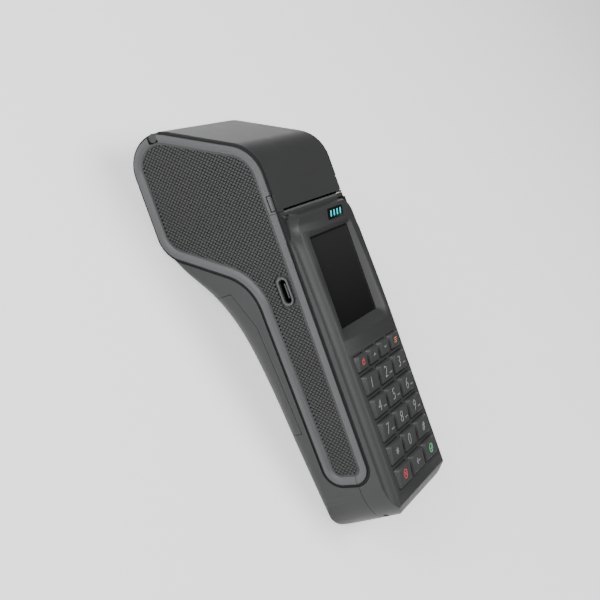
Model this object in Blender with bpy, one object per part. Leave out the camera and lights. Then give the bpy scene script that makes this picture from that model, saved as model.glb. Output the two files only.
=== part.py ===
"""Handheld card payment terminal: an assembly of separate pieces, resting on its back on a counter.

The design frame has x across the width, y along the length towards the printer head and z out of the
front face. The face at the keypad is z = 0. One empty tips that frame onto the rubber feet.
"""

import math

import bmesh
import bpy
from mathutils import Matrix, Vector

MM = 0.001
GAP = 0.3 * MM

# Driving sizes
PAPER_WIDTH = 57.0 * MM
SLOT_HALF = 29.5 * MM
BODY_HALF = 36.2 * MM
RIM_HALF = 36.8 * MM
FACE_HALF = 30.5 * MM
FACE_TOP = 81.3 * MM
FACE_TAIL = -54.9 * MM
HEAD_FRONT = -6.0 * MM
HEAD_BACK = -69.4 * MM
WALL = 2.4 * MM
SIDE_FLOOR = 34.8 * MM
CAVITY_HALF = 33.0 * MM
RIM_WIDTH = 3.5 * MM
GROOVE = 1.3 * MM
SLANT = 0.522
LID_SEAM = 85.3 * MM
PARTING = -13.4 * MM
DOOR_ENDS = (-11.5 * MM, 58.0 * MM)

# How the design frame lies in the world
REST_TILT = math.radians(13.06)
REST_SHIFT = (0.0, -44.448 * MM, 47.2 * MM)

# Keypad
KEY_PITCH_X = 17.84 * MM
KEY_PITCH_Y = 11.09 * MM
KEY_BASE = (15.0 * MM, 9.2 * MM)
KEY_TOP = (13.5 * MM, 8.0 * MM)
KEY_PROUD = (1.0 * MM, 2.2 * MM)
KEY_TRAVEL = 1.0 * MM
SMALL_KEY_BASE = (11.0 * MM, 7.4 * MM)
SMALL_KEY_TOP = (9.5 * MM, 6.4 * MM)
SMALL_KEY_PITCH = 13.6 * MM
SMALL_KEY_Y = 10.2 * MM
KEY_GRID = (
    ("key_1", "key_2", "key_3"),
    ("key_4", "key_5", "key_6"),
    ("key_7", "key_8", "key_9"),
    ("key_star", "key_0", "key_hash"),
    ("key_cancel", "key_clear", "key_enter"),
)
SMALL_KEYS = ("key_power", "key_up", "key_down", "key_menu")

# Screen and status lights
SCREEN_CENTRE_Y = 48.8 * MM
SCREEN_MOUTH = (25.0 * MM, 25.2 * MM)
GLASS_HALF = (21.6 * MM, 21.7 * MM)
GLASS_TOP = -3.0 * MM
LIGHT_CENTRE = (10.9 * MM, 77.1 * MM)
LIGHT_WINDOW = (16.8 * MM, 4.6 * MM)
LIGHT_LEAN = 2.6 * MM
LIGHT_PITCH = 4.3 * MM

# Printer
PLATEN_AXIS = (90.2 * MM, -13.2 * MM)
PLATEN_RADIUS = 4.2 * MM
ROLL_AXIS = (107.5 * MM, -45.0 * MM)
ROLL_RADIUS = 19.5 * MM
IDLER_AXIS = (85.0 * MM, -24.5 * MM)
MOTOR_AXIS = (76.0 * MM, -31.5 * MM)
HINGE_AXIS = (135.7 * MM, -53.0 * MM)
HINGE_CLEAR = 2.4 * MM

# Data socket
SOCKET_Y = 51.8 * MM
SOCKET_Z = -15.3 * MM
SOCKET_LENGTH = 10.4 * MM
SOCKET_HEIGHT = 3.6 * MM


# ---------------------------------------------------------------- outlines in the y, z plane

def rounded(corners, step=math.radians(16)):
    """A closed outline from (y, z, radius) corners, each turned into an arc."""
    points = []
    count = len(corners)
    for i, (y, z, radius) in enumerate(corners):
        here = Vector((y, z))
        before = Vector(corners[i - 1][:2]) - here
        after = Vector(corners[(i + 1) % count][:2]) - here
        if radius <= 0:
            points.append(here)
            continue
        before.normalize()
        after.normalize()
        turn = math.pi - before.angle(after)
        reach = radius * math.tan(turn / 2)
        centre = here + (before + after).normalized() * (radius / math.cos(turn / 2))
        start = here + before * reach - centre
        side = 1 if (-before).cross(after) > 0 else -1
        pieces = max(1, round(turn / step))
        for k in range(pieces + 1):
            angle = side * turn * k / pieces
            points.append(centre + Matrix.Rotation(angle, 2) @ start)
    return points


def area(points):
    return sum(a.cross(b) for a, b in zip(points, points[1:] + points[:1])) / 2


def grown(points, distance):
    """The outline moved out by distance, or in where distance is negative."""
    sign = 1 if area(points) > 0 else -1
    out = []
    for i, here in enumerate(points):
        a = (here - points[i - 1]).normalized()
        b = (points[(i + 1) % len(points)] - here).normalized()
        middle = (Vector((a.y, -a.x)) + Vector((b.y, -b.x))).normalized() * sign
        half = math.acos(max(-1.0, min(1.0, a.dot(b)))) / 2
        out.append(here + middle * (distance / math.cos(half)))
    return out


def top_line(z, offset=0.0):
    """y of the slanted head end at height z, offset outwards."""
    return 114.1 * MM - SLANT * (z + 6.6 * MM) + offset * math.sqrt(1 + SLANT ** 2)


def rim_outline():
    """The outer edge of the raised rim on each side."""
    front, back = -6.6 * MM, -67.9 * MM
    return rounded((
        (-40.3 * MM, front, 7 * MM),
        (top_line(front), front, 18 * MM),
        (top_line(back), back, 14.5 * MM),
        (84.9 * MM, back, 15 * MM),
        (59.6 * MM, -29.4 * MM, 24 * MM),
        (-37.4 * MM, -27.0 * MM, 8.5 * MM),
    ))


def body_outline(wall=0.0):
    """The side view of the whole body without the rims, or of its inside where wall is above 0.

    The back is left low, for the cross-sections to shape.
    """
    lift = 1.3 * MM
    corners = (
        (FACE_TOP, -1.6 * MM, 0.7 * MM),
        (83.3 * MM, HEAD_FRONT, 0.7 * MM),
        (top_line(HEAD_FRONT, lift), HEAD_FRONT, 19 * MM),
        (top_line(HEAD_BACK, lift), HEAD_BACK, 16 * MM),
        (62 * MM, HEAD_BACK, 0.0),
        (-59.3 * MM, -34.6 * MM, 6 * MM),
        (-61.6 * MM, -17.0 * MM, 40 * MM),
        (-60.9 * MM, -4.2 * MM, 7 * MM),
        (FACE_TAIL, 0.0, 2 * MM),
        (22 * MM, 0.0, 0.0),
    )
    moved = grown([Vector(corner[:2]) for corner in corners], -wall)
    return rounded([(p.x, p.y, max(0.0, corner[2] - wall)) for p, corner in zip(moved, corners)])


# ---------------------------------------------------------------- solids

def new_object(name, mesh, finish):
    piece = bpy.data.objects.new(name, mesh)
    bpy.context.scene.collection.objects.link(piece)
    if finish:
        mesh.materials.append(finish)
    return piece


def from_bmesh(name, bm, finish=None, smooth=False):
    bmesh.ops.recalc_face_normals(bm, faces=bm.faces)
    mesh = bpy.data.meshes.new(name)
    bm.to_mesh(mesh)
    bm.free()
    if smooth:
        mesh.shade_smooth()
        mesh.set_sharp_from_angle(angle=math.radians(40))
    return new_object(name, mesh, finish)


def prism(name, outline, x0, x1, finish=None):
    """A y, z outline as a solid between x0 and x1."""
    bm = bmesh.new()
    face = bm.faces.new([bm.verts.new((x0, p[0], p[1])) for p in outline])
    grown_part = bmesh.ops.extrude_face_region(bm, geom=[face])["geom"]
    moved = [v for v in grown_part if isinstance(v, bmesh.types.BMVert)]
    bmesh.ops.translate(bm, verts=moved, vec=(x1 - x0, 0, 0))
    return from_bmesh(name, bm, finish)


def slab(name, outline, z0, z1, finish=None, top_inset=0.0):
    """An x, y outline as a solid between z0 and z1."""
    bm = bmesh.new()
    face = bm.faces.new([bm.verts.new((p[0], p[1], z0)) for p in outline])
    grown_part = bmesh.ops.extrude_face_region(bm, geom=[face])["geom"]
    moved = [v for v in grown_part if isinstance(v, bmesh.types.BMVert)]
    bmesh.ops.translate(bm, verts=moved, vec=(0, 0, z1 - z0))
    if top_inset:
        middle = sum((v.co for v in moved), Vector()) / len(moved)
        for v in moved:
            v.co.x -= math.copysign(top_inset, v.co.x - middle.x)
            v.co.y -= math.copysign(top_inset, v.co.y - middle.y)
    return from_bmesh(name, bm, finish)


def rectangle(centre, size, radius=0.0, lean=0.0):
    """An x, y rectangle with round corners, its far end pushed sideways by lean."""
    hx, hy = size[0] / 2, size[1] / 2
    corners = [(-hx - lean / 2, -hy, radius), (hx - lean / 2, -hy, radius)]
    corners += [(hx + lean / 2, hy, radius), (-hx + lean / 2, hy, radius)]
    return [Vector((centre[0], centre[1])) + p for p in rounded(corners, math.radians(45))]


def box(name, low, high, finish=None):
    bm = bmesh.new()
    bmesh.ops.create_cube(bm, size=1.0)
    size = Vector(high) - Vector(low)
    bmesh.ops.scale(bm, vec=size, verts=bm.verts)
    bmesh.ops.translate(bm, vec=(Vector(low) + Vector(high)) / 2, verts=bm.verts)
    return from_bmesh(name, bm, finish)


def turned(name, profile, centre, finish=None, sides=24):
    """A (radius, x) profile spun round an axis along x, and placed with its origin on that axis."""
    bm = bmesh.new()
    verts = [bm.verts.new((x, 0, r)) for r, x in profile]
    edges = [bm.edges.new(pair) for pair in zip(verts, verts[1:])]
    bmesh.ops.spin(bm, geom=verts + edges, axis=(1, 0, 0), cent=(0, 0, 0), angle=2 * math.pi,
                   steps=sides, use_merge=True, use_duplicate=False)
    bmesh.ops.remove_doubles(bm, verts=bm.verts, dist=1e-6)
    piece = from_bmesh(name, bm, finish, smooth=True)
    piece.location = (0, centre[0], centre[1])
    return piece


def rod(name, x0, x1, radius, centre, finish=None, sides=24, bore=0.0):
    """A round bar along x, or a tube where it has a bore."""
    if bore:
        profile = [(bore, x0), (bore, x1), (radius, x1), (radius, x0), (bore, x0)]
    else:
        profile = [(0, x0), (radius, x0), (radius, x1), (0, x1)]
    return turned(name, profile, centre, finish, sides)


def gear(name, x0, x1, radius, teeth, centre, finish):
    """A spur gear along x, its teeth as a stepped rim."""
    depth = 0.7 * MM
    outline = []
    for k in range(teeth):
        for part, r in ((-0.30, radius - depth), (-0.14, radius), (0.14, radius), (0.30, radius - depth)):
            angle = 2 * math.pi * (k + part) / teeth
            outline.append((r * math.cos(angle), r * math.sin(angle)))
    piece = prism(name, outline, x0, x1, finish)
    piece.location = (0, centre[0], centre[1])
    return piece


def back_line(y):
    """Where the back is at y, and how far its side edges roll over in x and in z, all in metres."""
    stations = (
        (-70, -32.5, 5, 5), (-50, -35.4, 6, 6), (-20, -39.8, 10, 8.5), (15, -45.0, 15, 13.0),
        (40, -49.3, 15, 14.0), (58, -54.5, 11, 11), (75, -62.4, 4, 4), (86, -66.6, 1.5, 1.5),
        (97, -69.1, 1.2, 1.2), (99, -73.0, 1.2, 1.2), (160, -73.0, 1.2, 1.2),
    )
    for first, second in zip(stations, stations[1:]):
        if first[0] * MM <= y <= second[0] * MM:
            share = (y / MM - first[0]) / (second[0] - first[0])
            return [(p + (q - p) * share) * MM for p, q in zip(first[1:], second[1:])]
    raise ValueError("y is off the body")


def cross_section(y, half, wall):
    """Half widths and heights of the body at y, from the face round to the back."""
    back, wide, deep = back_line(y)
    wide = max(0.6 * MM, wide - wall)
    deep = max(0.6 * MM, deep - wall)
    face = -1.6 * MM * max(0.0, y - 22 * MM) / (FACE_TOP - 22 * MM)
    shoulder = half - (BODY_HALF - FACE_HALF) * (1 if y < 82 * MM else 0.02)
    line = [(shoulder, face + 2 * MM * (y > 82 * MM) - wall), (half, face - 2.6 * MM - wall * 0.4)]
    for k in range(6):
        angle = math.pi / 2 * k / 5
        line.append((half - wide * (1 - math.cos(angle)), back + wall + deep * (1 - math.sin(angle))))
    return line


def body_solid(name, wall):
    """The whole body, or its inside where wall is above 0: cross-sections cut to side view and plan."""
    half = CAVITY_HALF if wall else BODY_HALF
    stations = [-70, -50, -35, -20, -2, 15, 27, 40, 49, 58, 66, 75, 81.3, 83.3, 90, 97, 99, 160]
    bm = bmesh.new()
    rows = []
    for y in stations:
        line = cross_section(y * MM, half, wall)
        line = line + [(-x, z) for x, z in reversed(line)]
        rows.append([bm.verts.new((x, y * MM, z)) for x, z in line])
    bm.faces.new(rows[0])
    bm.faces.new(reversed(rows[-1]))
    for first, second in zip(rows, rows[1:]):
        for i in range(len(first)):
            bm.faces.new((first[i - 1], first[i], second[i], second[i - 1]))
    body = from_bmesh(name, bm)
    side_view = body_outline(wall)
    plan = rounded(((-half - 0.05 * MM, -61.7 * MM + wall, 20 * MM - wall),
                    (half + 0.05 * MM, -61.7 * MM + wall, 20 * MM - wall),
                    (half + 0.05 * MM, 0.17, 0), (-half - 0.05 * MM, 0.17, 0)))
    combine(body, prism("side_view", side_view, -60 * MM, 60 * MM), "INTERSECT")
    combine(body, slab("plan", plan, -0.1, 0.04), "INTERSECT")
    return body


def combine(piece, tool, operation):
    """Applies a Boolean and removes its tool."""
    step = piece.modifiers.new(operation, "BOOLEAN")
    step.operation = operation
    step.object = tool
    step.solver = "EXACT"
    bpy.context.view_layer.update()
    graph = bpy.context.evaluated_depsgraph_get()
    mesh = bpy.data.meshes.new_from_object(piece.evaluated_get(graph))
    piece.modifiers.remove(step)
    piece.data = mesh
    bpy.data.objects.remove(tool, do_unlink=True)
    return piece


def cut(piece, *tools):
    for tool in tools:
        combine(piece, tool, "DIFFERENCE")
    return piece


def join(piece, *tools):
    for tool in tools:
        combine(piece, tool, "UNION")
    return piece


def copy_of(piece, name):
    twin = bpy.data.objects.new(name, piece.data.copy())
    bpy.context.scene.collection.objects.link(twin)
    return twin


def finish(piece, material):
    """Gives a cut piece its material and clean facets."""
    bm = bmesh.new()
    bm.from_mesh(piece.data)
    bmesh.ops.remove_doubles(bm, verts=bm.verts, dist=2e-6)
    bmesh.ops.dissolve_degenerate(bm, edges=bm.edges, dist=2e-6)
    bmesh.ops.dissolve_limit(bm, verts=bm.verts, edges=bm.edges, angle_limit=math.radians(0.4))
    bm.to_mesh(piece.data)
    bm.free()
    piece.data.materials.clear()
    piece.data.materials.append(material)
    piece.data.shade_smooth()
    piece.data.set_sharp_from_angle(angle=math.radians(28))
    return piece


# ---------------------------------------------------------------- materials

def material(name, colour, roughness, metallic=0.0, glow=0.0):
    made = bpy.data.materials.new(name)
    made.use_nodes = True
    shader = made.node_tree.nodes["Principled BSDF"]
    shader.inputs["Base Color"].default_value = (*colour, 1)
    shader.inputs["Roughness"].default_value = roughness
    shader.inputs["Metallic"].default_value = metallic
    if glow:
        shader.inputs["Emission Color"].default_value = (*colour, 1)
        shader.inputs["Emission Strength"].default_value = glow
    return made


def make_materials():
    return {
        "shell": material("shell_grey", (0.075, 0.077, 0.082), 0.45),
        "panel": material("panel_mesh", (0.05, 0.05, 0.053), 0.6),
        "key": material("key_grey", (0.12, 0.122, 0.128), 0.5),
        "rubber": material("black_rubber", (0.02, 0.02, 0.02), 0.8),
        "glass": material("black_glass", (0.006, 0.006, 0.007), 0.08),
        "lamp": material("cyan_lamp", (0.0, 0.85, 0.9), 0.4, 0.0, 3.0),
        "board": material("green_board", (0.02, 0.12, 0.05), 0.5),
        "steel": material("steel", (0.6, 0.6, 0.6), 0.3, 1.0),
        "gear": material("gear_plastic", (0.75, 0.73, 0.68), 0.4),
        "paper": material("paper", (0.85, 0.85, 0.83), 0.9),
        "cell": material("battery_blue", (0.03, 0.06, 0.16), 0.5),
    }


# ---------------------------------------------------------------- shells

def shell_forms():
    """The outer body with its rims, the space inside it, and the mesh field's outline."""
    rim = rim_outline()
    field = grown(rim, -RIM_WIDTH)
    outer = body_solid("outer", 0.0)
    inner = body_solid("inner", WALL)
    for side in (-1, 1):
        cut(outer, prism("side_cut", grown(rim, GROOVE), side * SIDE_FLOOR, side * 45 * MM))
        ring = prism("rim", rim, side * (SIDE_FLOOR - 0.5 * MM), side * RIM_HALF)
        cut(ring, prism("rim_hole", field, side * 30 * MM, side * 45 * MM))
        join(outer, ring)
    return outer, inner, field


def points(*pairs):
    """Corner pairs in millimetres as vectors in metres."""
    return [Vector(pair) * MM for pair in pairs]


def split_shell(shell, field):
    """Parts the hollow body into front shell, rear shell, battery door and paper lid.

    The front shell keeps the side walls behind the mesh, and the lid takes the rim round the head.
    """
    half_gap = GAP / 2
    wide = 60 * MM
    wider = grown(field, half_gap)
    lid = copy_of(shell, "paper_lid")
    rear = copy_of(shell, "rear_housing")
    front = copy_of(shell, "front_housing")
    y, above, below = HINGE_AXIS[0], HINGE_AXIS[1] + HINGE_CLEAR, HINGE_AXIS[1] - HINGE_CLEAR
    tailward = [Vector((-0.09, -0.1)), Vector((LID_SEAM + half_gap, -0.1)),
                Vector((LID_SEAM + half_gap, 0.03)), Vector((-0.09, 0.03))]
    inner_y, seam = y - HINGE_CLEAR, HINGE_AXIS[1]
    under_lid = [Vector((y - 0.02, seam + half_gap)), Vector((inner_y, seam + half_gap)),
                 Vector((inner_y, above)), Vector((y + 0.05, above))]
    under_lid += points((190, -120), (80, -120), (80, -50))
    cut(lid, prism("field", wider, -wide, wide), prism("tailward", tailward, -wide, wide),
        prism("under_lid", under_lid, -wide, wide))
    over_rear = [Vector((y - 0.02, seam - half_gap)), Vector((inner_y, seam - half_gap)),
                 Vector((inner_y, below)), Vector((y + 0.05, below))]
    over_rear += points((190, 40), (100, 40))
    fore = [Vector((-0.09, PARTING - half_gap)), Vector((0.19, PARTING - half_gap)),
            Vector((0.19, 0.04)), Vector((-0.09, 0.04))]
    cut(rear, prism("field", wider, -wide, wide), prism("fore", fore, -wide, wide),
        prism("over_rear", over_rear, -wide, wide))
    band = [Vector((-0.09, PARTING + half_gap)), Vector((LID_SEAM - half_gap, PARTING + half_gap)),
            Vector((LID_SEAM - half_gap, 0.02)), Vector((-0.09, 0.02))]
    kept = join(prism("band", band, -wide, wide), prism("field", grown(field, -half_gap), -wide, wide))
    combine(front, kept, "INTERSECT")
    low, high = DOOR_ENDS
    door_view = [Vector((low, -31.8 * MM)), Vector((40 * MM, -35 * MM)), Vector((high, -42 * MM)),
                 Vector((high, -0.09)), Vector((low, -0.09))]
    door = copy_of(rear, "battery_door")
    combine(door, prism("door_view", grown(door_view, -half_gap), -wide, wide), "INTERSECT")
    cut(rear, prism("door_view", grown(door_view, half_gap), -wide, wide))
    return front, rear, door, lid


def stack(name, loops, finish=None):
    """A solid through rectangular loops of (centre x, centre y, size x, size y, z at tail, z at head)."""
    bm = bmesh.new()
    rows = []
    for cx, cy, sx, sy, z_tail, z_head in loops:
        corners = ((-1, -1, z_tail), (1, -1, z_tail), (1, 1, z_head), (-1, 1, z_head))
        rows.append([bm.verts.new((cx + i * sx / 2, cy + j * sy / 2, z)) for i, j, z in corners])
    bm.faces.new(rows[0])
    bm.faces.new(reversed(rows[-1]))
    for first, second in zip(rows, rows[1:]):
        for i in range(4):
            bm.faces.new((first[i - 1], first[i], second[i], second[i - 1]))
    return from_bmesh(name, bm, finish)


def key_places():
    """Name, centre, base size and top size of every key."""
    places = []
    for row, names in enumerate(KEY_GRID):
        for column, name in enumerate(names):
            centre = ((column - 1) * KEY_PITCH_X, -row * KEY_PITCH_Y)
            places.append((name, centre, KEY_BASE, KEY_TOP))
    for column, name in enumerate(SMALL_KEYS):
        centre = ((column - 1.5) * SMALL_KEY_PITCH, SMALL_KEY_Y)
        places.append((name, centre, SMALL_KEY_BASE, SMALL_KEY_TOP))
    return places


def make_keys(look):
    """Wedge keys, each standing through its own hole on a flange that stops it from falling out."""
    for name, centre, base, top in key_places():
        flange = (base[0] + 1.0 * MM, base[1] + 1.0 * MM)
        low, high = KEY_PROUD
        key = stack(name, (
            (0, 0, *flange, -3.9 * MM, -3.9 * MM),
            (0, 0, *flange, -2.8 * MM, -2.8 * MM),
            (0, 0, *base, -2.7 * MM, -2.7 * MM),
            (0, 0, *base, 0.1 * MM, 0.1 * MM),
            (0, 0, *top, low, high),
        ), look["key"])
        key.location = (*centre, 0)


def shape_front(front, look):
    """Cuts the screen recess, the holes for keys and lights, the paper mouth and the sockets."""
    x, y = SCREEN_MOUTH[0] + 2 * MM, SCREEN_MOUTH[1]
    join(front, box("bezel", (-x, SCREEN_CENTRE_Y - y - 2 * MM, -5.0 * MM),
                    (x, SCREEN_CENTRE_Y + y, -2.2 * MM)))
    glass = (GLASS_HALF[0] * 2, GLASS_HALF[1] * 2)
    mouth = (SCREEN_MOUTH[0] * 2, SCREEN_MOUTH[1] * 2)
    wide = (mouth[0] + (mouth[0] - glass[0]) / 3, mouth[1] + (mouth[1] - glass[1]) / 3)
    cut(front, stack("recess", (
        (0, SCREEN_CENTRE_Y, *glass, -6 * MM, -6 * MM),
        (0, SCREEN_CENTRE_Y, *glass, -2.9 * MM, -2.9 * MM),
        (0, SCREEN_CENTRE_Y, *wide, 1 * MM, 1 * MM),
    )))
    for name, centre, base, _ in key_places():
        hole = (base[0] / 2 + GAP, base[1] / 2 + GAP)
        low = (centre[0] - hole[0], centre[1] - hole[1], -3.2 * MM)
        cut(front, box("key_hole", low, (centre[0] + hole[0], centre[1] + hole[1], 1 * MM)))
    size = (LIGHT_WINDOW[0] + 2 * GAP, LIGHT_WINDOW[1] + 2 * GAP)
    cut(front, slab("light_hole", rectangle(LIGHT_CENTRE, size, 0.0, LIGHT_LEAN), -6 * MM, 1 * MM))
    cut(front, box("card_slot", (-27.8 * MM, -70 * MM, -11.3 * MM), (27.8 * MM, -50 * MM, -9.7 * MM)))
    length, height = SOCKET_LENGTH / 2 + 1.9 * MM, SOCKET_HEIGHT / 2 + 1.3 * MM
    cut(front, box("socket_hole", (-40 * MM, SOCKET_Y - length, SOCKET_Z - height),
                   (-30 * MM, SOCKET_Y + length, SOCKET_Z + height)))
    return finish(front, look["shell"])


def knuckle(x0, x1, up):
    """A hinge barrel with a web that reaches up or down into the wall it belongs to."""
    axis, radius = Vector(HINGE_AXIS), 2.1 * MM
    outline = []
    first, last = math.asin(1.6 / 2.1), math.asin(0.2 / 2.1)
    for k in range(17):
        angle = first + (2 * math.pi + last - first) * k / 16
        outline.append(axis + Vector((math.sin(angle), up * math.cos(angle))) * radius)
    outline += [axis + Vector((0.2, up * 3.6)) * MM, axis + Vector((1.6, up * 3.6)) * MM]
    return prism("knuckle", outline, x0, x1)


def shape_lid(lid, look):
    """Adds the bearings of the platen roller, the hinge knuckles and the latch pockets."""
    y, z = PLATEN_AXIS
    for side in (-1, 1):
        arm = points((86.8, -15.0), (86.8, -8.0), (94, -8.0), (94, -15.0), (92, -16.8), (88.6, -16.8))
        join(lid, prism("arm", arm, side * 29.4 * MM, side * 30.6 * MM))
        cut(lid, rod("bore", side * 29 * MM, side * 31 * MM, 1.5 * MM + GAP, (y, z), None, 16))
        cut(lid, box("latch_pocket", (min(side * 33.9, side * 40) * MM, 86.2 * MM, -8.5 * MM),
                     (max(side * 33.9, side * 40) * MM, 93.6 * MM, -5.0 * MM)))
    for side in (-1, 1):
        join(lid, knuckle(side * 16 * MM, side * 36 * MM, 1))
    cut(lid, rod("pin_bore", -35.4 * MM, 35.4 * MM, 1.0 * MM + GAP, HINGE_AXIS, None, 16))
    return finish(lid, look["shell"])


def shape_rear(rear, look):
    """Adds the middle hinge knuckle and the pockets that the feet sit in."""
    join(rear, knuckle(-15.6 * MM, 15.6 * MM, -1))
    cut(rear, rod("pin_bore", -34 * MM, 34 * MM, 1.0 * MM + GAP, HINGE_AXIS, None, 16))
    for _, centre in FEET:
        cut(rear, foot_solid("foot_pocket", centre, FOOT_RADIUS + GAP, -1 * MM, 2.5 * MM))
    return finish(rear, look["shell"])


# Rubber feet: name and where each stands in the design frame's x and in world y from the origin
FOOT_RADIUS = 4.0 * MM
FEET = (
    ("foot_tail_left", (-20 * MM, -40.0 * MM)),
    ("foot_tail_right", (20 * MM, -40.0 * MM)),
    ("foot_head_left", (-25 * MM, 106.5 * MM)),
    ("foot_head_right", (25 * MM, 106.5 * MM)),
)


def to_design():
    """World to design frame, leaving out the shift along y."""
    return Matrix.Rotation(-REST_TILT, 4, "X") @ Matrix.Translation((0, 0, -REST_SHIFT[2]))


def foot_solid(name, centre, radius, low, high, finish=None):
    """An upright cylinder in the world, given in the design frame. centre is (x, y along the table)."""
    bm = bmesh.new()
    bmesh.ops.create_cone(bm, cap_ends=True, segments=20, radius1=radius, radius2=radius, depth=high - low)
    bmesh.ops.translate(bm, verts=bm.verts, vec=(centre[0], centre[1], (low + high) / 2))
    bmesh.ops.transform(bm, matrix=to_design(), verts=bm.verts)
    return from_bmesh(name, bm, finish, smooth=True)


def make_screen(look):
    lip = 0.4 * MM
    x, y = GLASS_HALF[0] - lip, GLASS_HALF[1] - lip
    box("screen_lens", (-x, SCREEN_CENTRE_Y - y, -4.6 * MM), (x, SCREEN_CENTRE_Y + y, -3.1 * MM),
        look["glass"])
    box("lcd_module", (-23.5 * MM, 25.5 * MM, -6.7 * MM), (23.5 * MM, 72 * MM, -5.3 * MM), look["board"])
    window = slab("light_window", rectangle(LIGHT_CENTRE, LIGHT_WINDOW, 0.0, LIGHT_LEAN),
                  -3.4 * MM, -1.35 * MM, look["glass"])
    for k in range(4):
        place = (LIGHT_CENTRE[0] + (k - 1.5) * LIGHT_PITCH, LIGHT_CENTRE[1])
        hole = rectangle(place, (2.0 * MM + 0.4 * MM, 3.0 * MM + 0.4 * MM), 0.0, 1.6 * MM)
        cut(window, slab("bar_hole", hole, -5 * MM, 0))
        bar = rectangle(place, (2.0 * MM, 3.0 * MM), 0.0, 1.5 * MM)
        slab(f"light_bar_{k + 1}", bar, -3.4 * MM, -1.35 * MM, look["lamp"])
    finish(window, look["glass"])


def make_electronics(look):
    box("keypad_mat", (-28.5 * MM, -51.5 * MM, -6.6 * MM), (28.5 * MM, 16.0 * MM, -5.5 * MM),
        look["rubber"])
    box("main_board", (-29 * MM, -52 * MM, -8.6 * MM), (29 * MM, 72 * MM, -7.0 * MM), look["board"])
    reader = box("card_reader", (-29 * MM, -51.4 * MM, -12.9 * MM), (29 * MM, -16 * MM, -9.0 * MM),
                 look["steel"])
    cut(reader, box("card_way", (-27.6 * MM, -60 * MM, -11.1 * MM), (27.6 * MM, -22 * MM, -9.9 * MM)))
    finish(reader, look["steel"])
    box("battery_pack", (-25 * MM, -7 * MM, -35 * MM), (25 * MM, 55 * MM, -16 * MM), look["cell"])
    loop = box("contactless_antenna", (-29.3 * MM, 19 * MM, -6.7 * MM), (29.3 * MM, 74.0 * MM, -6.2 * MM),
               look["board"])
    cut(loop, box("loop_hole", (-26 * MM, 22.3 * MM, -8 * MM), (26 * MM, 73.0 * MM, -5 * MM)))
    finish(loop, look["board"])
    bm = bmesh.new()
    bmesh.ops.create_cone(bm, cap_ends=True, segments=24, radius1=8 * MM, radius2=10 * MM, depth=5 * MM)
    speaker = from_bmesh("speaker", bm, look["rubber"], smooth=True)
    speaker.location = (-14 * MM, -34 * MM, -20 * MM)


def make_socket(look):
    """The data and charging socket: a trim ring in the mesh, a steel shell and its tongue."""
    y, z = SOCKET_Y, SOCKET_Z
    length, height = SOCKET_LENGTH / 2, SOCKET_HEIGHT / 2

    def oval(grow):
        hy, hz = length + grow, height + grow
        return rounded(((y - hy, z - hz, hz - 1e-5), (y + hy, z - hz, hz - 1e-5),
                        (y + hy, z + hz, hz - 1e-5), (y - hy, z + hz, hz - 1e-5)), math.radians(36))

    collar = prism("socket_collar", oval(1.3 * MM - GAP), -36.5 * MM, -33.6 * MM)
    cut(collar, prism("hole", oval(-0.1 * MM), -40 * MM, -30 * MM))
    finish(collar, look["shell"])
    shell = prism("socket_shell", oval(-0.35 * MM), -33.3 * MM, -27 * MM)
    cut(shell, prism("hole", oval(-0.65 * MM), -40 * MM, -27.5 * MM))
    finish(shell, look["steel"])
    box("socket_tongue", (-33.2 * MM, y - 3.3 * MM, z - 0.35 * MM),
        (-27.8 * MM, y + 3.3 * MM, z + 0.35 * MM), look["rubber"])


def make_printer(look):
    """Print head, drive motor with its gears, platen roller, paper roll and tear bar."""
    y, z = PLATEN_AXIS
    turned("platen_roller", (
        (0, -31.0 * MM), (1.5 * MM, -31.0 * MM), (1.5 * MM, -28.7 * MM), (PLATEN_RADIUS, -28.7 * MM),
        (PLATEN_RADIUS, 28.7 * MM), (1.5 * MM, 28.7 * MM), (1.5 * MM, 30.8 * MM), (0, 30.8 * MM),
    ), (y, z), look["rubber"])
    gear("platen_gear", 31.1 * MM, 32.4 * MM, 4.4 * MM, 14, (y, z), look["gear"])
    gear("idler_gear", 31.1 * MM, 32.4 * MM, 7.75 * MM, 24, IDLER_AXIS, look["gear"])
    pinion = gear("motor_pinion", 31.1 * MM, 32.4 * MM, 3.3 * MM, 10, MOTOR_AXIS, look["gear"])
    shaft = rod("shaft", 29.8 * MM, 31.6 * MM, 1.0 * MM, MOTOR_AXIS, None, 12)
    join(pinion, shaft)
    finish(pinion, look["gear"])
    rod("stepper_motor", 14 * MM, 29.5 * MM, 7.5 * MM, MOTOR_AXIS, look["steel"], 28)
    box("print_head", (-28 * MM, 83.6 * MM, -17.5 * MM), (28 * MM, 85.6 * MM, -8.8 * MM), look["gear"])
    box("print_head_spring", (-20 * MM, 81.8 * MM, -19 * MM), (20 * MM, 82.2 * MM, -9.5 * MM),
        look["steel"])
    half = PAPER_WIDTH / 2
    rod("paper_roll", -half, half, ROLL_RADIUS, ROLL_AXIS, look["paper"], 32, 6.25 * MM)


def make_lid_parts(look):
    rod("hinge_pin", -35 * MM, 35 * MM, 1.0 * MM, HINGE_AXIS, look["steel"], 16)
    for name, side in (("latch_left", -1), ("latch_right", 1)):
        low, high = sorted((side * 35.0 * MM, side * 36.7 * MM))
        box(name, (low, 86.5 * MM, -8.2 * MM), (high, 93.3 * MM, -6.8 * MM), look["key"])


def make_tear_bar(front, look):
    """A thin toothless blade in a rebate at the tail side of the paper mouth."""
    cut(front, box("rebate", (-30 * MM, 84.3 * MM, -8.1 * MM), (30 * MM, 90 * MM, -2 * MM)))
    box("tear_bar", (-29.5 * MM, 84.6 * MM, -7.9 * MM), (29.5 * MM, 85.3 * MM, -6.1 * MM), look["steel"])


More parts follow.
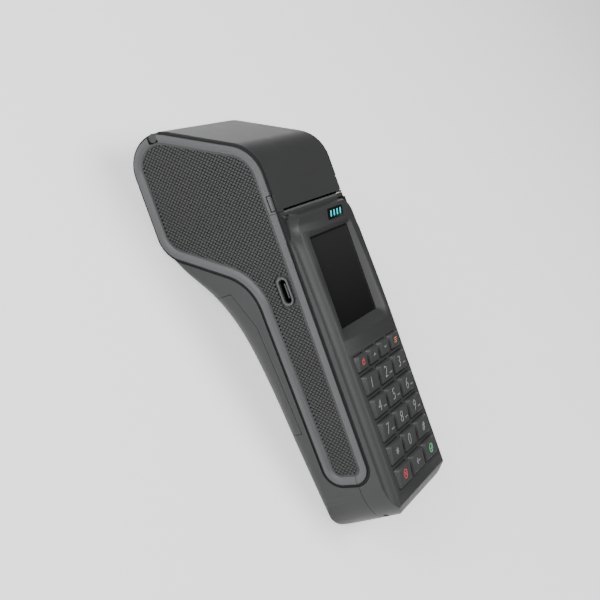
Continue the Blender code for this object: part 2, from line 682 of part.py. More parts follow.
def main():
    for old in list(bpy.data.objects):
        bpy.data.objects.remove(old, do_unlink=True)
    look = make_materials()
    outer, inner, field = shell_forms()
    cut(outer, inner)
    front, rear, door, lid = split_shell(outer, field)
    bpy.data.objects.remove(outer, do_unlink=True)
    make_tear_bar(front, look)
    cut(lid, box("mouth", (-SLOT_HALF, 84 * MM, -10 * MM), (SLOT_HALF, 86.3 * MM, 0)))
    shape_front(front, look)
    shape_lid(lid, look)
    shape_rear(rear, look)
    finish(door, look["shell"])
    for name, side in (("side_panel_left", -1), ("side_panel_right", 1)):
        panel = prism(name, grown(field, -GAP), side * (SIDE_FLOOR + GAP), side * 36.1 * MM)
        if side < 0:
            length, height = SOCKET_LENGTH / 2 + 1.3 * MM, SOCKET_HEIGHT / 2 + 1.3 * MM
            cut(panel, box("socket_hole", (-40 * MM, SOCKET_Y - length, SOCKET_Z - height),
                           (-30 * MM, SOCKET_Y + length, SOCKET_Z + height)))
        finish(panel, look["panel"])
    make_keys(look)
    make_screen(look)
    make_electronics(look)
    make_socket(look)
    make_printer(look)
    make_lid_parts(look)
    for name, centre in FEET:
        foot_solid(name, centre, FOOT_RADIUS, 0.0, 2.2 * MM, look["rubber"])
    for name, x in (("door_screw_left", -12 * MM), ("door_screw_right", 12 * MM)):
        door_screw(door, name, x, look)
    rest = bpy.data.objects.new("rest", None)
    bpy.context.scene.collection.objects.link(rest)
    rest.location = REST_SHIFT
    rest.rotation_euler = (REST_TILT, 0, 0)
    for piece in list(bpy.context.scene.collection.objects):
        if piece is not rest and piece.parent is None:
            piece.parent = rest


def door_screw(door, name, x, look):
    """A countersunk screw in the door near its tail end, square to the sloping back."""
    slope = math.atan(0.1486)
    place = Matrix.Translation((x, -6.5 * MM, -41.8 * MM)) @ Matrix.Rotation(-slope, 4, "X")
    seat = ("seat", 2.4 * MM + GAP, 1.8 * MM, 0.1 * MM)
    screw = (name, 2.4 * MM, 0.8 * MM, 0.3 * MM)
    for kind, radius, depth, rise in (seat, screw):
        bm = bmesh.new()
        bmesh.ops.create_cone(bm, cap_ends=True, segments=16, radius1=radius, radius2=radius, depth=depth)
        bmesh.ops.translate(bm, verts=bm.verts, vec=(0, 0, rise))
        bmesh.ops.transform(bm, matrix=place, verts=bm.verts)
        made = from_bmesh(kind, bm, look["steel"], smooth=True)
        if kind == "seat":
            cut(door, made)
            finish(door, look["shell"])


main()
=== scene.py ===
# %% [markdown]
# # A handheld card payment terminal
#
# The terminal is a hollow plastic body in four shells: a front shell with the keypad and the screen, a
# rear shell, a battery door, and a paper lid that wraps the printer head. Each side has a panel of fine
# mesh inside a raised rim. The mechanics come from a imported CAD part, which stays where it is. This
# lesson gives it finer meshes and finishes, one piece at a time.

import math

import bmesh
import bpy
from mathutils import Matrix, Vector


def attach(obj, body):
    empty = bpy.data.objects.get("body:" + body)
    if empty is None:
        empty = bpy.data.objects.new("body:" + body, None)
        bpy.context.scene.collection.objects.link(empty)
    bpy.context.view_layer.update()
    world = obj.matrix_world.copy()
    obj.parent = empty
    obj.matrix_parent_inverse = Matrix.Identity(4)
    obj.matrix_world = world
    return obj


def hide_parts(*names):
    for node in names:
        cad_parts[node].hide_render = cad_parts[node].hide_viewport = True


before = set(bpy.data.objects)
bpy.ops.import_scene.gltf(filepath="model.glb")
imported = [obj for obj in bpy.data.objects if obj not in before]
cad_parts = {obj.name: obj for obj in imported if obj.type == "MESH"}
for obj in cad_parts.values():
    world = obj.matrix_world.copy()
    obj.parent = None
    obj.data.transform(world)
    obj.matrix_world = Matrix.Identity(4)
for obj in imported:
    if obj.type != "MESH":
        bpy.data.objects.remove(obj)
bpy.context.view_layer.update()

# %% [markdown]
# ## One frame for every piece
#
# The body is easier to think about lying flat. Its shapes are worked out in a design frame, in
# millimetres: x across, y along the length towards the printer, z out of the keypad face. One matrix
# then tips each finished mesh onto the rubber feet and turns millimetres into metres. The objects stay
# unmoved at the origin, so every piece shares the CAD part's frame.

# %% The design frame
TILT = math.radians(13.06)
TO_WORLD = (Matrix.Translation((0, -0.044448, 0.0472)) @ Matrix.Rotation(TILT, 4, "X")
            @ Matrix.Scale(0.001, 4))
BODY_X = 36.2
RIM_X = 36.8
FLOOR_X = 33.9
FACE_X = 30.5
PARTING_Z = -13.4
LID_Y = 85.3
HINGE_Y, HINGE_Z = 135.7, -53.0
WIDE = 60.0
print("the keypad face leans back by", round(math.degrees(TILT), 1), "degrees")

# %% [markdown]
# ## Outlines made of corners and arcs
#
# A side view needs only its corners and how round each one is. `rounded` walks the corners and swaps
# each for an arc. `grown` moves a whole outline outwards or inwards by one distance, and `evenly` shares
# out points along it, so that a surface built on it has regular facets.

# %% Outline helpers
def rounded(corners, step=6.0):
    """A closed outline from (a, b, radius) corners, with each corner turned into an arc."""
    points = []
    for i, (a, b, radius) in enumerate(corners):
        here = Vector((a, b))
        before = (Vector(corners[i - 1][:2]) - here).normalized()
        after = (Vector(corners[(i + 1) % len(corners)][:2]) - here).normalized()
        if radius <= 0:
            points.append(here)
            continue
        turn = math.pi - before.angle(after)
        centre = here + (before + after).normalized() * (radius / math.cos(turn / 2))
        start = here + before * (radius * math.tan(turn / 2)) - centre
        side = 1 if (-before).cross(after) > 0 else -1
        pieces = max(1, round(math.degrees(turn) / step))
        points += [centre + Matrix.Rotation(side * turn * k / pieces, 2) @ start for k in range(pieces + 1)]
    return points


def grown(points, distance):
    """The closed outline moved out by distance, or in where distance is negative."""
    turning = sum(a.cross(b) for a, b in zip(points, points[1:] + points[:1]))
    moved = []
    for i, here in enumerate(points):
        a = (here - points[i - 1]).normalized()
        b = (points[(i + 1) % len(points)] - here).normalized()
        middle = (Vector((a.y, -a.x)) + Vector((b.y, -b.x))).normalized()
        half = math.acos(max(-1.0, min(1.0, a.dot(b)))) / 2
        moved.append(here + middle * math.copysign(distance / math.cos(half), turning * distance))
    return moved


def evenly(points, gap):
    """The closed outline with points added, so that no stretch is longer than gap."""
    out = []
    for a, b in zip(points, points[1:] + points[:1]):
        pieces = max(1, math.ceil((b - a).length / gap))
        out += [a + (b - a) * k / pieces for k in range(pieces)]
    return out


def top_line(z, offset=0.0):
    """y of the slanted end of the head at height z."""
    return 114.1 - 0.522 * (z + 6.6) + offset * math.sqrt(1 + 0.522 ** 2)


def rectangle(cx, cy, sx, sy, radius, lean=0.0, step=18):
    """An x, y rectangle with round corners, its far edge pushed sideways by lean."""
    hx, hy = sx / 2, sy / 2
    return rounded(((cx - hx - lean / 2, cy - hy, radius), (cx + hx - lean / 2, cy - hy, radius),
                    (cx + hx + lean / 2, cy + hy, radius), (cx - hx + lean / 2, cy + hy, radius)), step)


RIM = evenly(rounded((
    (-40.3, -6.6, 7), (top_line(-6.6), -6.6, 18), (top_line(-67.9), -67.9, 14.5),
    (84.9, -67.9, 15), (59.6, -29.4, 24), (-37.4, -27.0, 8.5)), 5), 3.0)
FIELD = grown(RIM, -3.6)
print("the rim's outline has", len(RIM), "points")

# %% [markdown]
# ## From an outline to a solid
#
# `through` makes one face from a ring of corners and extrudes it from ring to ring, which is how most
# moulded parts start. `levels` gives it one outline at several heights, grown or shrunk at each, so one
# call makes a chamfer, a draft or a step. Solids are cut and joined with exact Booleans in `combine`, and
# `piece` turns a finished bmesh into a named object that rides on its CAD body.

# %% Mesh helpers
def through(rings):
    """A solid whose skin passes through rings of corners: one face is extruded from ring to ring."""
    bm = bmesh.new()
    face = bm.faces.new([bm.verts.new(p) for p in rings[0]])
    last = list(face.verts)
    for ring in rings[1:]:
        new = bmesh.ops.extrude_face_region(bm, geom=[face])["geom"]
        if ring is not rings[1]:
            bmesh.ops.delete(bm, geom=[face], context="FACES_ONLY")
        face = next(f for f in new if isinstance(f, bmesh.types.BMFace))
        above = {tuple(v.co): v for v in face.verts}
        last = [above[tuple(v.co)] for v in last]
        for v, place in zip(last, ring):
            v.co = place
    bmesh.ops.recalc_face_normals(bm, faces=bm.faces)
    return bm


def prism(outline, x0, x1):
    """A (y, z) outline as a solid between x0 and x1."""
    return through([[(x, p[0], p[1]) for p in outline] for x in (x0, x1)])


def levels(outline, steps, side=0):
    """An outline as a solid through (height, distance grown) steps.

    The outline is (x, y) and the height z where side is 0. Where side is -1 or 1 the outline is (y, z)
    and the height is x on that side of the body.
    """
    rings = []
    for height, grow in steps:
        ring = grown(outline, grow) if grow else outline
        rings.append([(side * height, *p) if side else (*p, height) for p in ring])
    return through(rings)


def block(low, high):
    """A box between two corners."""
    bm = bmesh.new()
    bmesh.ops.create_cube(bm, size=1.0)
    low, high = Vector(low), Vector(high)
    bmesh.ops.scale(bm, vec=high - low, verts=bm.verts)
    bmesh.ops.translate(bm, vec=(low + high) / 2, verts=bm.verts)
    return bm


def as_object(name, bm):
    mesh = bpy.data.meshes.new(name)
    bm.to_mesh(mesh)
    bm.free()
    made = bpy.data.objects.new(name, mesh)
    bpy.context.scene.collection.objects.link(made)
    return made


def combine(bm, *tools, operation="DIFFERENCE"):
    """The bmesh after an exact Boolean with each tool in turn."""
    body = as_object("work", bm)
    for tool_bm in tools:
        tool = as_object("tool", tool_bm)
        step = body.modifiers.new("step", "BOOLEAN")
        step.operation = operation
        step.solver = "EXACT"
        step.object = tool
        bpy.context.view_layer.update()
        graph = bpy.context.evaluated_depsgraph_get()
        body.data = bpy.data.meshes.new_from_object(body.evaluated_get(graph))
        body.modifiers.clear()
        bpy.data.objects.remove(tool, do_unlink=True)
    out = bmesh.new()
    out.from_mesh(body.data)
    bpy.data.objects.remove(body, do_unlink=True)
    return out


def put(bm, other):
    """Adds the other bmesh's faces to this one."""
    mesh = bpy.data.meshes.new("part")
    other.to_mesh(mesh)
    other.free()
    bm.from_mesh(mesh)
    bpy.data.meshes.remove(mesh)
    return bm


def mark_rims(bm):
    """Gives the faces of the raised rims the second finish of their shell."""
    for face in bm.faces:
        face.material_index = int(abs(face.calc_center_median().x) > BODY_X + 0.02)
    return bm


def piece(name, bm, finish, body, replaces=(), edge=28, tidy=True):
    """Turns a bmesh in the design frame into one finished piece that rides on a body."""
    if tidy:
        bmesh.ops.remove_doubles(bm, verts=bm.verts, dist=0.002)
        bmesh.ops.dissolve_degenerate(bm, edges=bm.edges, dist=0.002)
    bmesh.ops.recalc_face_normals(bm, faces=bm.faces)
    bmesh.ops.transform(bm, matrix=TO_WORLD, verts=bm.verts)
    made = as_object(name, bm)
    for one in (finish if isinstance(finish, tuple) else (finish,)):
        made.data.materials.append(one)
    made.data.shade_smooth()
    made.data.set_sharp_from_angle(angle=math.radians(edge))
    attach(made, body)
    if replaces:
        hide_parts(*replaces)
    return made


print("helpers are ready")

# %% [markdown]
# ## Shader maths in plain expressions
#
# A procedural finish is arithmetic on patterns. `Value` wraps one socket, so `1 - mask * 0.4` adds its
# own Math nodes, and `Graph.node` adds any other node from its type, its settings and its inputs.

# %% Material helpers
class Value:
    """One socket's number, on which + - * work as Math nodes."""

    def __init__(self, graph, socket):
        self.graph = graph
        self.socket = socket

    def maths(self, operation, *terms):
        """A Math node on terms, which are this value and others in the order given."""
        return self.graph.node("ShaderNodeMath", {"operation": operation}, dict(enumerate(terms)))[0]

    def __add__(self, other):
        return self.maths("ADD", self, other)

    def __sub__(self, other):
        return self.maths("SUBTRACT", self, other)

    def __mul__(self, other):
        return self.maths("MULTIPLY", self, other)

    def __rsub__(self, other):
        return self.maths("SUBTRACT", other, self)

    __radd__ = __add__
    __rmul__ = __mul__


class Graph:
    """The node tree of one material, with its Principled shader."""

    def __init__(self, name):
        self.material = bpy.data.materials.new(name)
        self.material.use_nodes = True
        self.tree = self.material.node_tree
        self.shader = self.tree.nodes["Principled BSDF"]
        self.place = self.node("ShaderNodeTexCoord", {}, {})["Object"]

    def node(self, kind, settings, inputs):
        """A node with its settings made, then its inputs. It is read by output name or number."""
        made = self.tree.nodes.new(kind)
        for key, value in settings.items():
            setattr(made, key, value)
        for key, value in inputs.items():
            self.feed(made.inputs[key], value)
        return _Outputs(self, made)

    def feed(self, socket, value):
        if isinstance(value, Value):
            self.tree.links.new(value.socket, socket)
        else:
            socket.default_value = value

    def set(self, **inputs):
        """Sets the shader's own sockets. An underscore in a name stands for a space."""
        for key, value in inputs.items():
            self.feed(self.shader.inputs[key.replace("_", " ")], value)
        return self.material

    def noise(self, size, detail=2.0, roughness=0.5):
        """Fractal noise whose blobs are about size metres across."""
        return self.node("ShaderNodeTexNoise", {}, {
            "Vector": self.place, "Scale": 1 / size, "Detail": detail, "Roughness": roughness})["Fac"]

    def between(self, value, low, high):
        """The number mapped from 0 to 1 between low and high, and held outside them."""
        return self.node("ShaderNodeMapRange", {}, {"Value": value, 1: low, 2: high})[0]

    def mix(self, factor, first, second):
        return self.node("ShaderNodeMix", {"data_type": "RGBA"}, {0: factor, 6: first, 7: second})[2]

    def bump(self, height, depth, strength=1.0):
        """A Normal from a height of 0 to 1 that is depth metres deep."""
        inputs = {"Height": height, "Distance": depth, "Strength": strength}
        return self.node("ShaderNodeBump", {}, inputs)["Normal"]


class _Outputs:
    """A node's outputs, read by name or number as Values."""

    def __init__(self, graph, node):
        self.graph = graph
        self.node = node

    def __getitem__(self, key):
        return Value(self.graph, self.node.outputs[key])


def grey(level, tint=0.0):
    """A near grey colour, a little blue where tint is above 0."""
    return (level, level * (1 + tint * 0.4), level * (1 + tint))


def four(colour):
    return (*colour, 1)


print("material helpers are ready")

# %% [markdown]
# ## Moulded plastic
#
# The shells are ABS from a spark-eroded mould. The mould leaves a fine random texture about a tenth of
# a millimetre across, which scatters highlights, and the colour drifts slightly with the flow of the
# melt. Handling polishes it in patches. One function makes the whole family of plastics, because they
# differ only in shade, grain and gloss.

# %% Plastics
def moulded(name, level, tint=0.03, gloss=0.5, grain=0.00016, depth=0.000012, metal=0.0):
    """Textured moulded plastic: level is its shade, gloss its roughness."""
    graph = Graph(name)
    flow = graph.noise(0.018, 3.0)
    speck = graph.noise(grain, 2.0, 0.6)
    wear = graph.between(graph.noise(0.009, 4.0, 0.65), 0.55, 0.75)
    shade = graph.mix(flow, four(grey(level * 0.93, tint)), four(grey(level * 1.07, tint)))
    shade = graph.mix(graph.between(speck, 0.35, 0.7) * 0.22, shade, four(grey(level * 1.5, tint)))
    rough = gloss + (speck - 0.5) * 0.16 - wear * 0.05
    return graph.set(Base_Color=shade, Roughness=rough, Metallic=metal,
                     Normal=graph.bump(speck, depth, 0.6), Specular_IOR_Level=0.2)


SHELL = moulded("shell_plastic", 0.036, gloss=0.42)
RIM_PLASTIC = moulded("rim_plastic", 0.07, tint=0.06, gloss=0.45)
KEY_PLASTIC = moulded("key_plastic", 0.05, gloss=0.42, grain=0.00012)
GEAR_PLASTIC = moulded("gear_plastic", 0.55, tint=-0.06, gloss=0.4)
BLACK_PLASTIC = moulded("black_plastic", 0.012, gloss=0.4)
print("made", len(bpy.data.materials), "materials")

# %% [markdown]
# ## The body's form
#
# The body is a slim handle that swells into the printer head. Its back is flat with edges that roll over
# softly at the handle and hardly at all at the head. Its face is a raised plateau with a hollow flank on
# each side. A loft through cross-sections makes such changing edges better than bevels do. The loft is
# then trimmed with two flat outlines, the side view and the plan, as if cut from a block with two saws.

# %% Cross-sections of the body
BACK = ((-70, -32.5, 5, 5), (-50, -35.4, 6, 6), (-20, -39.8, 10, 8.5), (15, -45.0, 15, 13.0),
        (40, -49.3, 15, 14.0), (58, -54.5, 11, 11), (75, -62.4, 4, 4), (86, -66.6, 1.5, 1.5),
        (97, -69.1, 1.2, 1.2), (99, -73.0, 1.2, 1.2), (160, -73.0, 1.2, 1.2))


def smooth(y, low, high):
    """A soft step from 0 at low to 1 at high."""
    share = max(0.0, min(1.0, (y - low) / (high - low)))
    return share * share * (3 - 2 * share)


def back_line(y):
    """Height of the back at y, and how far its side edges roll over in x and in z."""
    i = next(k for k in range(len(BACK) - 1) if y <= BACK[k + 1][0])
    first, second = BACK[i], BACK[i + 1]
    share = (y - first[0]) / (second[0] - first[0])
    if not 1 <= i <= 6:
        return [p + (q - p) * share for p, q in zip(first[1:], second[1:])]
    out = []
    for k in (1, 2, 3):
        span = second[0] - first[0]
        leaving = (second[k] - BACK[i - 1][k]) / (second[0] - BACK[i - 1][0]) * span
        arriving = (BACK[i + 2][k] - first[k]) / (BACK[i + 2][0] - first[0]) * span
        s2, s3 = share ** 2, share ** 3
        out.append((2 * s3 - 3 * s2 + 1) * first[k] + (s3 - 2 * s2 + share) * leaving
                   + (3 * s2 - 2 * s3) * second[k] + (s3 - s2) * arriving)
    return out


def flank(y):
    """The face's edge at y as (x, z) points, from the plateau down its hollow flank to the side."""
    top = -1.6 * smooth(y, 22, 90) * 1.1
    if y > 83.25:
        return [(BODY_X - 1.2 + 0.15 * k, top + 3) for k in range(9)]
    corner = max(0.0, y - 74.3)
    edge = FACE_X - (7 - math.sqrt(49 - min(corner, 6.9) ** 2))
    drop = 2.6 + 4.2 * smooth(y, 66, 82.5) + top * 0.2
    steep = 1.9 + 3.6 * smooth(y, 70, 82)
    points = [(edge - 0.5, top)]
    for k in range(7):
        share = k / 6
        fall = 0.25 + (drop - 0.25) * (1 - (1 - share) ** steep)
        points.append((edge + (BODY_X - 0.35 - edge) * share, top - fall))
    return points + [(BODY_X, top - drop - 0.35)]


def cross_section(y, half, wall):
    """A closed ring at y, from the face round one side to the back and up the other side."""
    back, wide, deep = back_line(y)
    wide, deep = max(0.6, wide - wall), max(0.6, deep - wall)
    if wall:
        line = [(half - 5.7 * (y < 82) - 5.5 * (70 < y < 82), 2 * (y > 82) - wall),
                (half, -2.6 - wall * 1.4 - 4.5 * (65 < y < 83))]
    else:
        line = flank(y)
    for k in range(11):
        angle = math.pi / 2 * k / 10
        line.append((half - wide * (1 - math.cos(angle)), back + wall + deep * (1 - math.sin(angle))))
    return [(x, y, z) for x, z in line] + [(-x, y, z) for x, z in reversed(line)]


def side_view(wall=0.0):
    """The outline of the body from the side. The back is left low, for the cross-sections to shape."""
    corners = (
        (81.3, -1.6, 1.0), (83.3, -6.0, 0.8),
        (top_line(-6.0, 1.3), -6.0, 19), (top_line(-69.4, 1.3), -69.4, 16), (62, -69.4, 0),
        (-59.3, -34.6, 6), (-61.6, -17.0, 40), (-60.9, -4.2, 7), (-54.9, 0.0, 2), (22, 0.0, 0))
    moved = grown([Vector(corner[:2]) for corner in corners], -wall)
    return rounded([(p.x, p.y, max(0.0, corner[2] - wall)) for p, corner in zip(moved, corners)], 5)


def body_blank(wall=0.0):
    """The whole body without its rims, or its inside where wall is above 0."""
    half = 33.0 if wall else BODY_X
    if wall:
        stations = [-70, -50, -35, -20, -2, 15, 27, 40, 49, 58, 66, 75, 81.3, 83.3, 90, 97, 99, 160]
    else:
        stations = [-70, -62, *range(-56, 66, 4), *range(66, 82, 2),
                    82, 82.8, 83.24, 83.3, 86, 91, 97, 99, 160]
    blank = through([cross_section(y, half, wall) for y in stations])
    reach = half + 0.05
    plan = rounded(((-reach, -61.7 + wall, 20 - wall), (reach, -61.7 + wall, 20 - wall),
                    (reach, 170, 0), (-reach, 170, 0)), 4)
    return combine(blank, prism(side_view(wall), -WIDE, WIDE), levels(plan, ((-100, 0), (40, 0))),
                   operation="INTERSECT")


outer = body_blank()
print("the trimmed loft has", len(outer.faces), "faces")

# %% [markdown]
# ## Rims and the hollow inside
#
# Each side has a raised rim round the mesh. Outside the rim runs a groove, and inside it a chamfer slopes
# down to the mesh. A cut makes the groove, and one `levels` solid makes the rim, its chamfer and the
# floor behind the mesh. Then the inner blank is cut away, which leaves walls about 2.4 mm thick.

# %% Rims, grooves and hollow
GROOVE = 1.52
for side in (-1, 1):
    slot_cut = levels(grown(RIM, GROOVE), ((FLOOR_X, 0), (45, 0)), side)
    rim = levels(RIM, ((FLOOR_X - 0.6, 0), (RIM_X - 0.3, 0), (RIM_X - 0.08, -0.1), (RIM_X, -0.35),
                       (RIM_X, -2.0), (RIM_X - 0.1, -2.25), (36.0, -3.6), (35.0, -3.6)), side)
    outer = combine(outer, slot_cut)
    outer = combine(outer, rim, operation="UNION")
shell = combine(outer, body_blank(2.4))
print("the hollow shell has", len(shell.faces), "faces")

# %% [markdown]
# ## Four shells from one
#
# Real housings split where the mould opens. Cutting one hollow body along the parting lines keeps every
# surface running straight across a seam, and leaves a gap of a fifth of a millimetre there. The front
# shell keeps the walls behind the mesh, and the lid takes the part of the rim that goes round the head.

# %% Split along the parting lines
def corners(*pairs):
    return [Vector(pair) for pair in pairs]


HALF_GAP = 0.1
CLEAR = 2.4
LATCH_Y = (86.2, 93.6)
inner_field = grown(FIELD, -0.4)
hinge_in = HINGE_Y - CLEAR
lid_shell = combine(
    shell.copy(), prism(grown(inner_field, HALF_GAP), -WIDE, WIDE),
    prism(corners((-90, -100), (LID_Y + HALF_GAP, -100), (LID_Y + HALF_GAP, 30), (-90, 30)), -WIDE, WIDE),
    prism(corners((HINGE_Y - 20, HINGE_Z + HALF_GAP), (hinge_in, HINGE_Z + HALF_GAP),
                  (hinge_in, HINGE_Z + CLEAR), (HINGE_Y + 50, HINGE_Z + CLEAR), (190, -120), (80, -120),
                  (80, -50)), -WIDE, WIDE))
rear_shell = combine(
    shell.copy(), prism(grown(inner_field, HALF_GAP), -WIDE, WIDE),
    prism(corners((-90, PARTING_Z - HALF_GAP), (190, PARTING_Z - HALF_GAP), (190, 40), (-90, 40)),
          -WIDE, WIDE),
    prism(corners((HINGE_Y - 20, HINGE_Z - HALF_GAP), (hinge_in, HINGE_Z - HALF_GAP),
                  (hinge_in, HINGE_Z - CLEAR), (HINGE_Y + 50, HINGE_Z - CLEAR), (190, 40), (100, 40)),
          -WIDE, WIDE))
band = prism(corners((-90, PARTING_Z + HALF_GAP), (LID_Y - HALF_GAP, PARTING_Z + HALF_GAP),
                     (LID_Y - HALF_GAP, 20), (-90, 20)), -WIDE, WIDE)
kept = combine(band, prism(grown(inner_field, -HALF_GAP), -WIDE, WIDE), operation="UNION")
front_shell = combine(shell, kept, operation="INTERSECT")
door_view = corners((-11.5, -31.8), (40, -35), (58, -42), (58, -90), (-11.5, -90))
door_shell = combine(rear_shell.copy(), prism(grown(door_view, -HALF_GAP), -WIDE, WIDE),
                     operation="INTERSECT")
rear_shell = combine(rear_shell, prism(grown(door_view, HALF_GAP), -WIDE, WIDE))
print("faces: lid", len(lid_shell.faces), "rear", len(rear_shell.faces), "front", len(front_shell.faces))

# %% [markdown]
# ## Holes in the front shell
#
# Every key stands in its own hole with a thin shadow gap round it, and the screen lies at the bottom of
# a recess with sloping walls. The cutters are `levels` solids that flare at the top, so each opening gets
# a small rounded lip. All the key cutters go into one bmesh, so a single Boolean cuts every hole.

# %% Keypad and screen openings
KEY_GRID = (("1", "2", "3"), ("4", "5", "6"), ("7", "8", "9"), ("star", "0", "hash"),
            ("cancel", "clear", "enter"))
SMALL_KEYS = ("power", "up", "down", "menu")
SCREEN_Y = 48.8
LIGHTS = (10.9, 77.1)
LEAN = 2.6
SOCKET_Y, SOCKET_Z = 51.8, -15.3


def key_places():
    """Name, centre, base size and top size of every key."""
    for row, names in enumerate(KEY_GRID):
        for column, name in enumerate(names):
            yield name, ((column - 1) * 17.84, -row * 11.09), (15.0, 9.2), (13.5, 8.0)
    for column, name in enumerate(SMALL_KEYS):
        yield name, ((column - 1.5) * 13.6, 10.2), (11.0, 7.4), (9.5, 6.4)


key_holes = bmesh.new()
for name, centre, base, _ in key_places():
    hole = rectangle(*centre, base[0] + 0.5, base[1] + 0.5, 1.1)
    put(key_holes, levels(hole, ((-3.4, 0), (-0.3, 0), (-0.08, 0.07), (0.05, 0.3), (0.6, 0.9))))
glass = rectangle(0, SCREEN_Y, 43.2, 43.4, 0.8)
recess = levels(glass, ((-6, 0), (-2.95, 0), (-1.1, 2.75), (-0.75, 3.35), (-0.45, 4.2), (1.5, 8)))
window = rectangle(*LIGHTS, 17.0, 4.8, 0.7, LEAN)
light_hole = levels(window, ((-6, 0), (-1.9, 0), (-1.3, 0.25), (1, 2)))
bezel = block((-26, 22, -5), (26, 75.5, -2.4))
front_shell = combine(front_shell, bezel, operation="UNION")
front_shell = combine(
    front_shell, recess, key_holes, light_hole,
    block((-30, 84.3, -8.1), (30, 90, -2)), block((-27.8, -70, -11.3), (27.8, -50, -9.7)),
    prism(rectangle(SOCKET_Y, SOCKET_Z, 13.4, 5.7, 2.8, step=6), -40, -30))
SHELL_FINISHES = (SHELL, RIM_PLASTIC)
front = piece("front_shell", mark_rims(front_shell), SHELL_FINISHES, "case", ["front_housing"])
print("the front shell has", len(front.data.polygons), "faces")

# %% [markdown]
# ## Lid, rear shell and battery door
#
# The lid turns on a steel pin at the back of the head. Its barrels, called knuckles, interleave with one
# on the rear shell. Two arms inside the lid carry the platen roller, and a pocket in each side holds a
# press tab. Each barrel is one outline, a circle left open where its web runs into the wall.

# %% Hinge, bearings and pockets
PLATEN_AXIS, IDLER_AXIS, PINION_AXIS = (90.2, -13.2), (85.0, -24.5), (76.0, -31.5)
FEET = {"tail_left": (-20, -40.0), "tail_right": (20, -40.0), "head_left": (-25, 106.5),
        "head_right": (25, 106.5)}
FOOT_TO_WORLD = Matrix.Translation((0, -0.044448, 0)) @ Matrix.Scale(0.001, 4)
WORLD_TO_DESIGN = TO_WORLD.inverted()


def spun(profile, y, z, sides=32):
    """A solid of (radius, x) points turned round an axis along x."""
    bm = bmesh.new()
    verts = [bm.verts.new((x, 0, r)) for r, x in profile]
    for pair in zip(verts, verts[1:]):
        bm.edges.new(pair)
    bmesh.ops.spin(bm, geom=bm.verts[:] + bm.edges[:], axis=(1, 0, 0), cent=(0, 0, 0), angle=2 * math.pi,
                   steps=sides, use_merge=True)
    bmesh.ops.remove_doubles(bm, verts=bm.verts, dist=1e-4)
    bmesh.ops.translate(bm, verts=bm.verts, vec=(0, y, z))
    bmesh.ops.recalc_face_normals(bm, faces=bm.faces)
    return bm


def knuckle(x0, x1, up):
    """A hinge barrel with a web that reaches up or down into the wall it belongs to."""
    axis = Vector((HINGE_Y, HINGE_Z))
    first, last = math.asin(1.6 / 2.1), math.asin(0.2 / 2.1)
    outline = []
    for k in range(25):
        angle = first + (2 * math.pi + last - first) * k / 24
        outline.append(axis + Vector((math.sin(angle), up * math.cos(angle))) * 2.1)
    return prism(outline + [axis + Vector((0.2, up * 3.6)), axis + Vector((1.6, up * 3.6))], x0, x1)


def upright(x, y, radius, steps):
    """A round solid standing on the table, through (height, radius grown) steps in millimetres."""
    ring = [Vector((x + radius * math.cos(a * math.pi / 16), y + radius * math.sin(a * math.pi / 16)))
            for a in range(32)]
    bm = levels(ring, steps)
    bmesh.ops.transform(bm, matrix=WORLD_TO_DESIGN @ FOOT_TO_WORLD, verts=bm.verts)
    bmesh.ops.recalc_face_normals(bm, faces=bm.faces)
    return bm


arm = corners((86.8, -15), (86.8, -8), (94, -8), (94, -15), (92, -16.8), (88.6, -16.8))
for side in (-1, 1):
    lid_shell = combine(lid_shell, prism(arm, side * 29.4, side * 30.6),
                        knuckle(side * 16, side * 36, 1), operation="UNION")
    pocket = (min(side * 33.9, side * 40), max(side * 33.9, side * 40))
    lid_shell = combine(
        lid_shell, spun(((0, side * 29), (1.8, side * 29), (1.8, side * 31), (0, side * 31)), *PLATEN_AXIS),
        block((pocket[0], LATCH_Y[0], -8.5), (pocket[1], LATCH_Y[1], -5.0)))
bore = ((0, -35.4), (1.3, -35.4), (1.3, 35.4), (0, 35.4))
lid_shell = combine(lid_shell, spun(bore, HINGE_Y, HINGE_Z, 20), block((-29.5, 84, -10), (29.5, 86.3, 0)))
rear_shell = combine(rear_shell, knuckle(-15.6, 15.6, -1), operation="UNION")
rear_shell = combine(rear_shell, spun(bore, HINGE_Y, HINGE_Z, 20),
                     *[upright(x, y, 4.3, ((-1, 0), (2.5, 0))) for x, y in FEET.values()])


def door_screw_place(x):
    """Where a screw sits in the door, square to the sloping back."""
    return Matrix.Translation((x, -6.5, -41.8)) @ Matrix.Rotation(-math.atan(0.1486), 4, "X")


for x in (-12, 12):
    seat = bmesh.new()
    bmesh.ops.create_cone(seat, cap_ends=True, segments=32, radius1=3.0, radius2=2.6, depth=1.8,
                          matrix=door_screw_place(x) @ Matrix.Translation((0, 0, 0.1)))
    door_shell = combine(door_shell, seat)
lid = piece("lid_shell", mark_rims(lid_shell), SHELL_FINISHES, "lid", ["paper_lid"])
rear = piece("rear_shell", mark_rims(rear_shell), SHELL_FINISHES, "case", ["rear_housing"])
door = piece("door_shell", mark_rims(door_shell), SHELL_FINISHES, "case", ["battery_door"])
for made in (lid, rear, door):
    print(made.name, len(made.data.polygons), "faces")

# %% [markdown]
# ## A near-black seal round each rim as painted shade
#
# A thin near-black rubber cord lies deep in the groove outside each rim and draws a dark line round the
# mesh: painted shade for the groove. It is one ring between two grown outlines. The side view, shrunk a
# little, trims it so that it never stands out past the body, and two cuts share it between the case and the
# lid.

# %% Rubber and seals
def rubber_finish(name, level=0.012, gloss=0.72):
    """Black elastomer: matt, with a fine dusty bloom."""
    graph = Graph(name)
    dust = graph.between(graph.noise(0.004, 5.0, 0.7), 0.45, 0.8)
    speck = graph.noise(0.0002, 2.0)
    shade = graph.mix(dust * 0.5, four(grey(level)), four(grey(level * 2.4)))
    return graph.set(Base_Color=shade, Roughness=gloss + speck * 0.15, Normal=graph.bump(speck, 0.00001, 0.5))


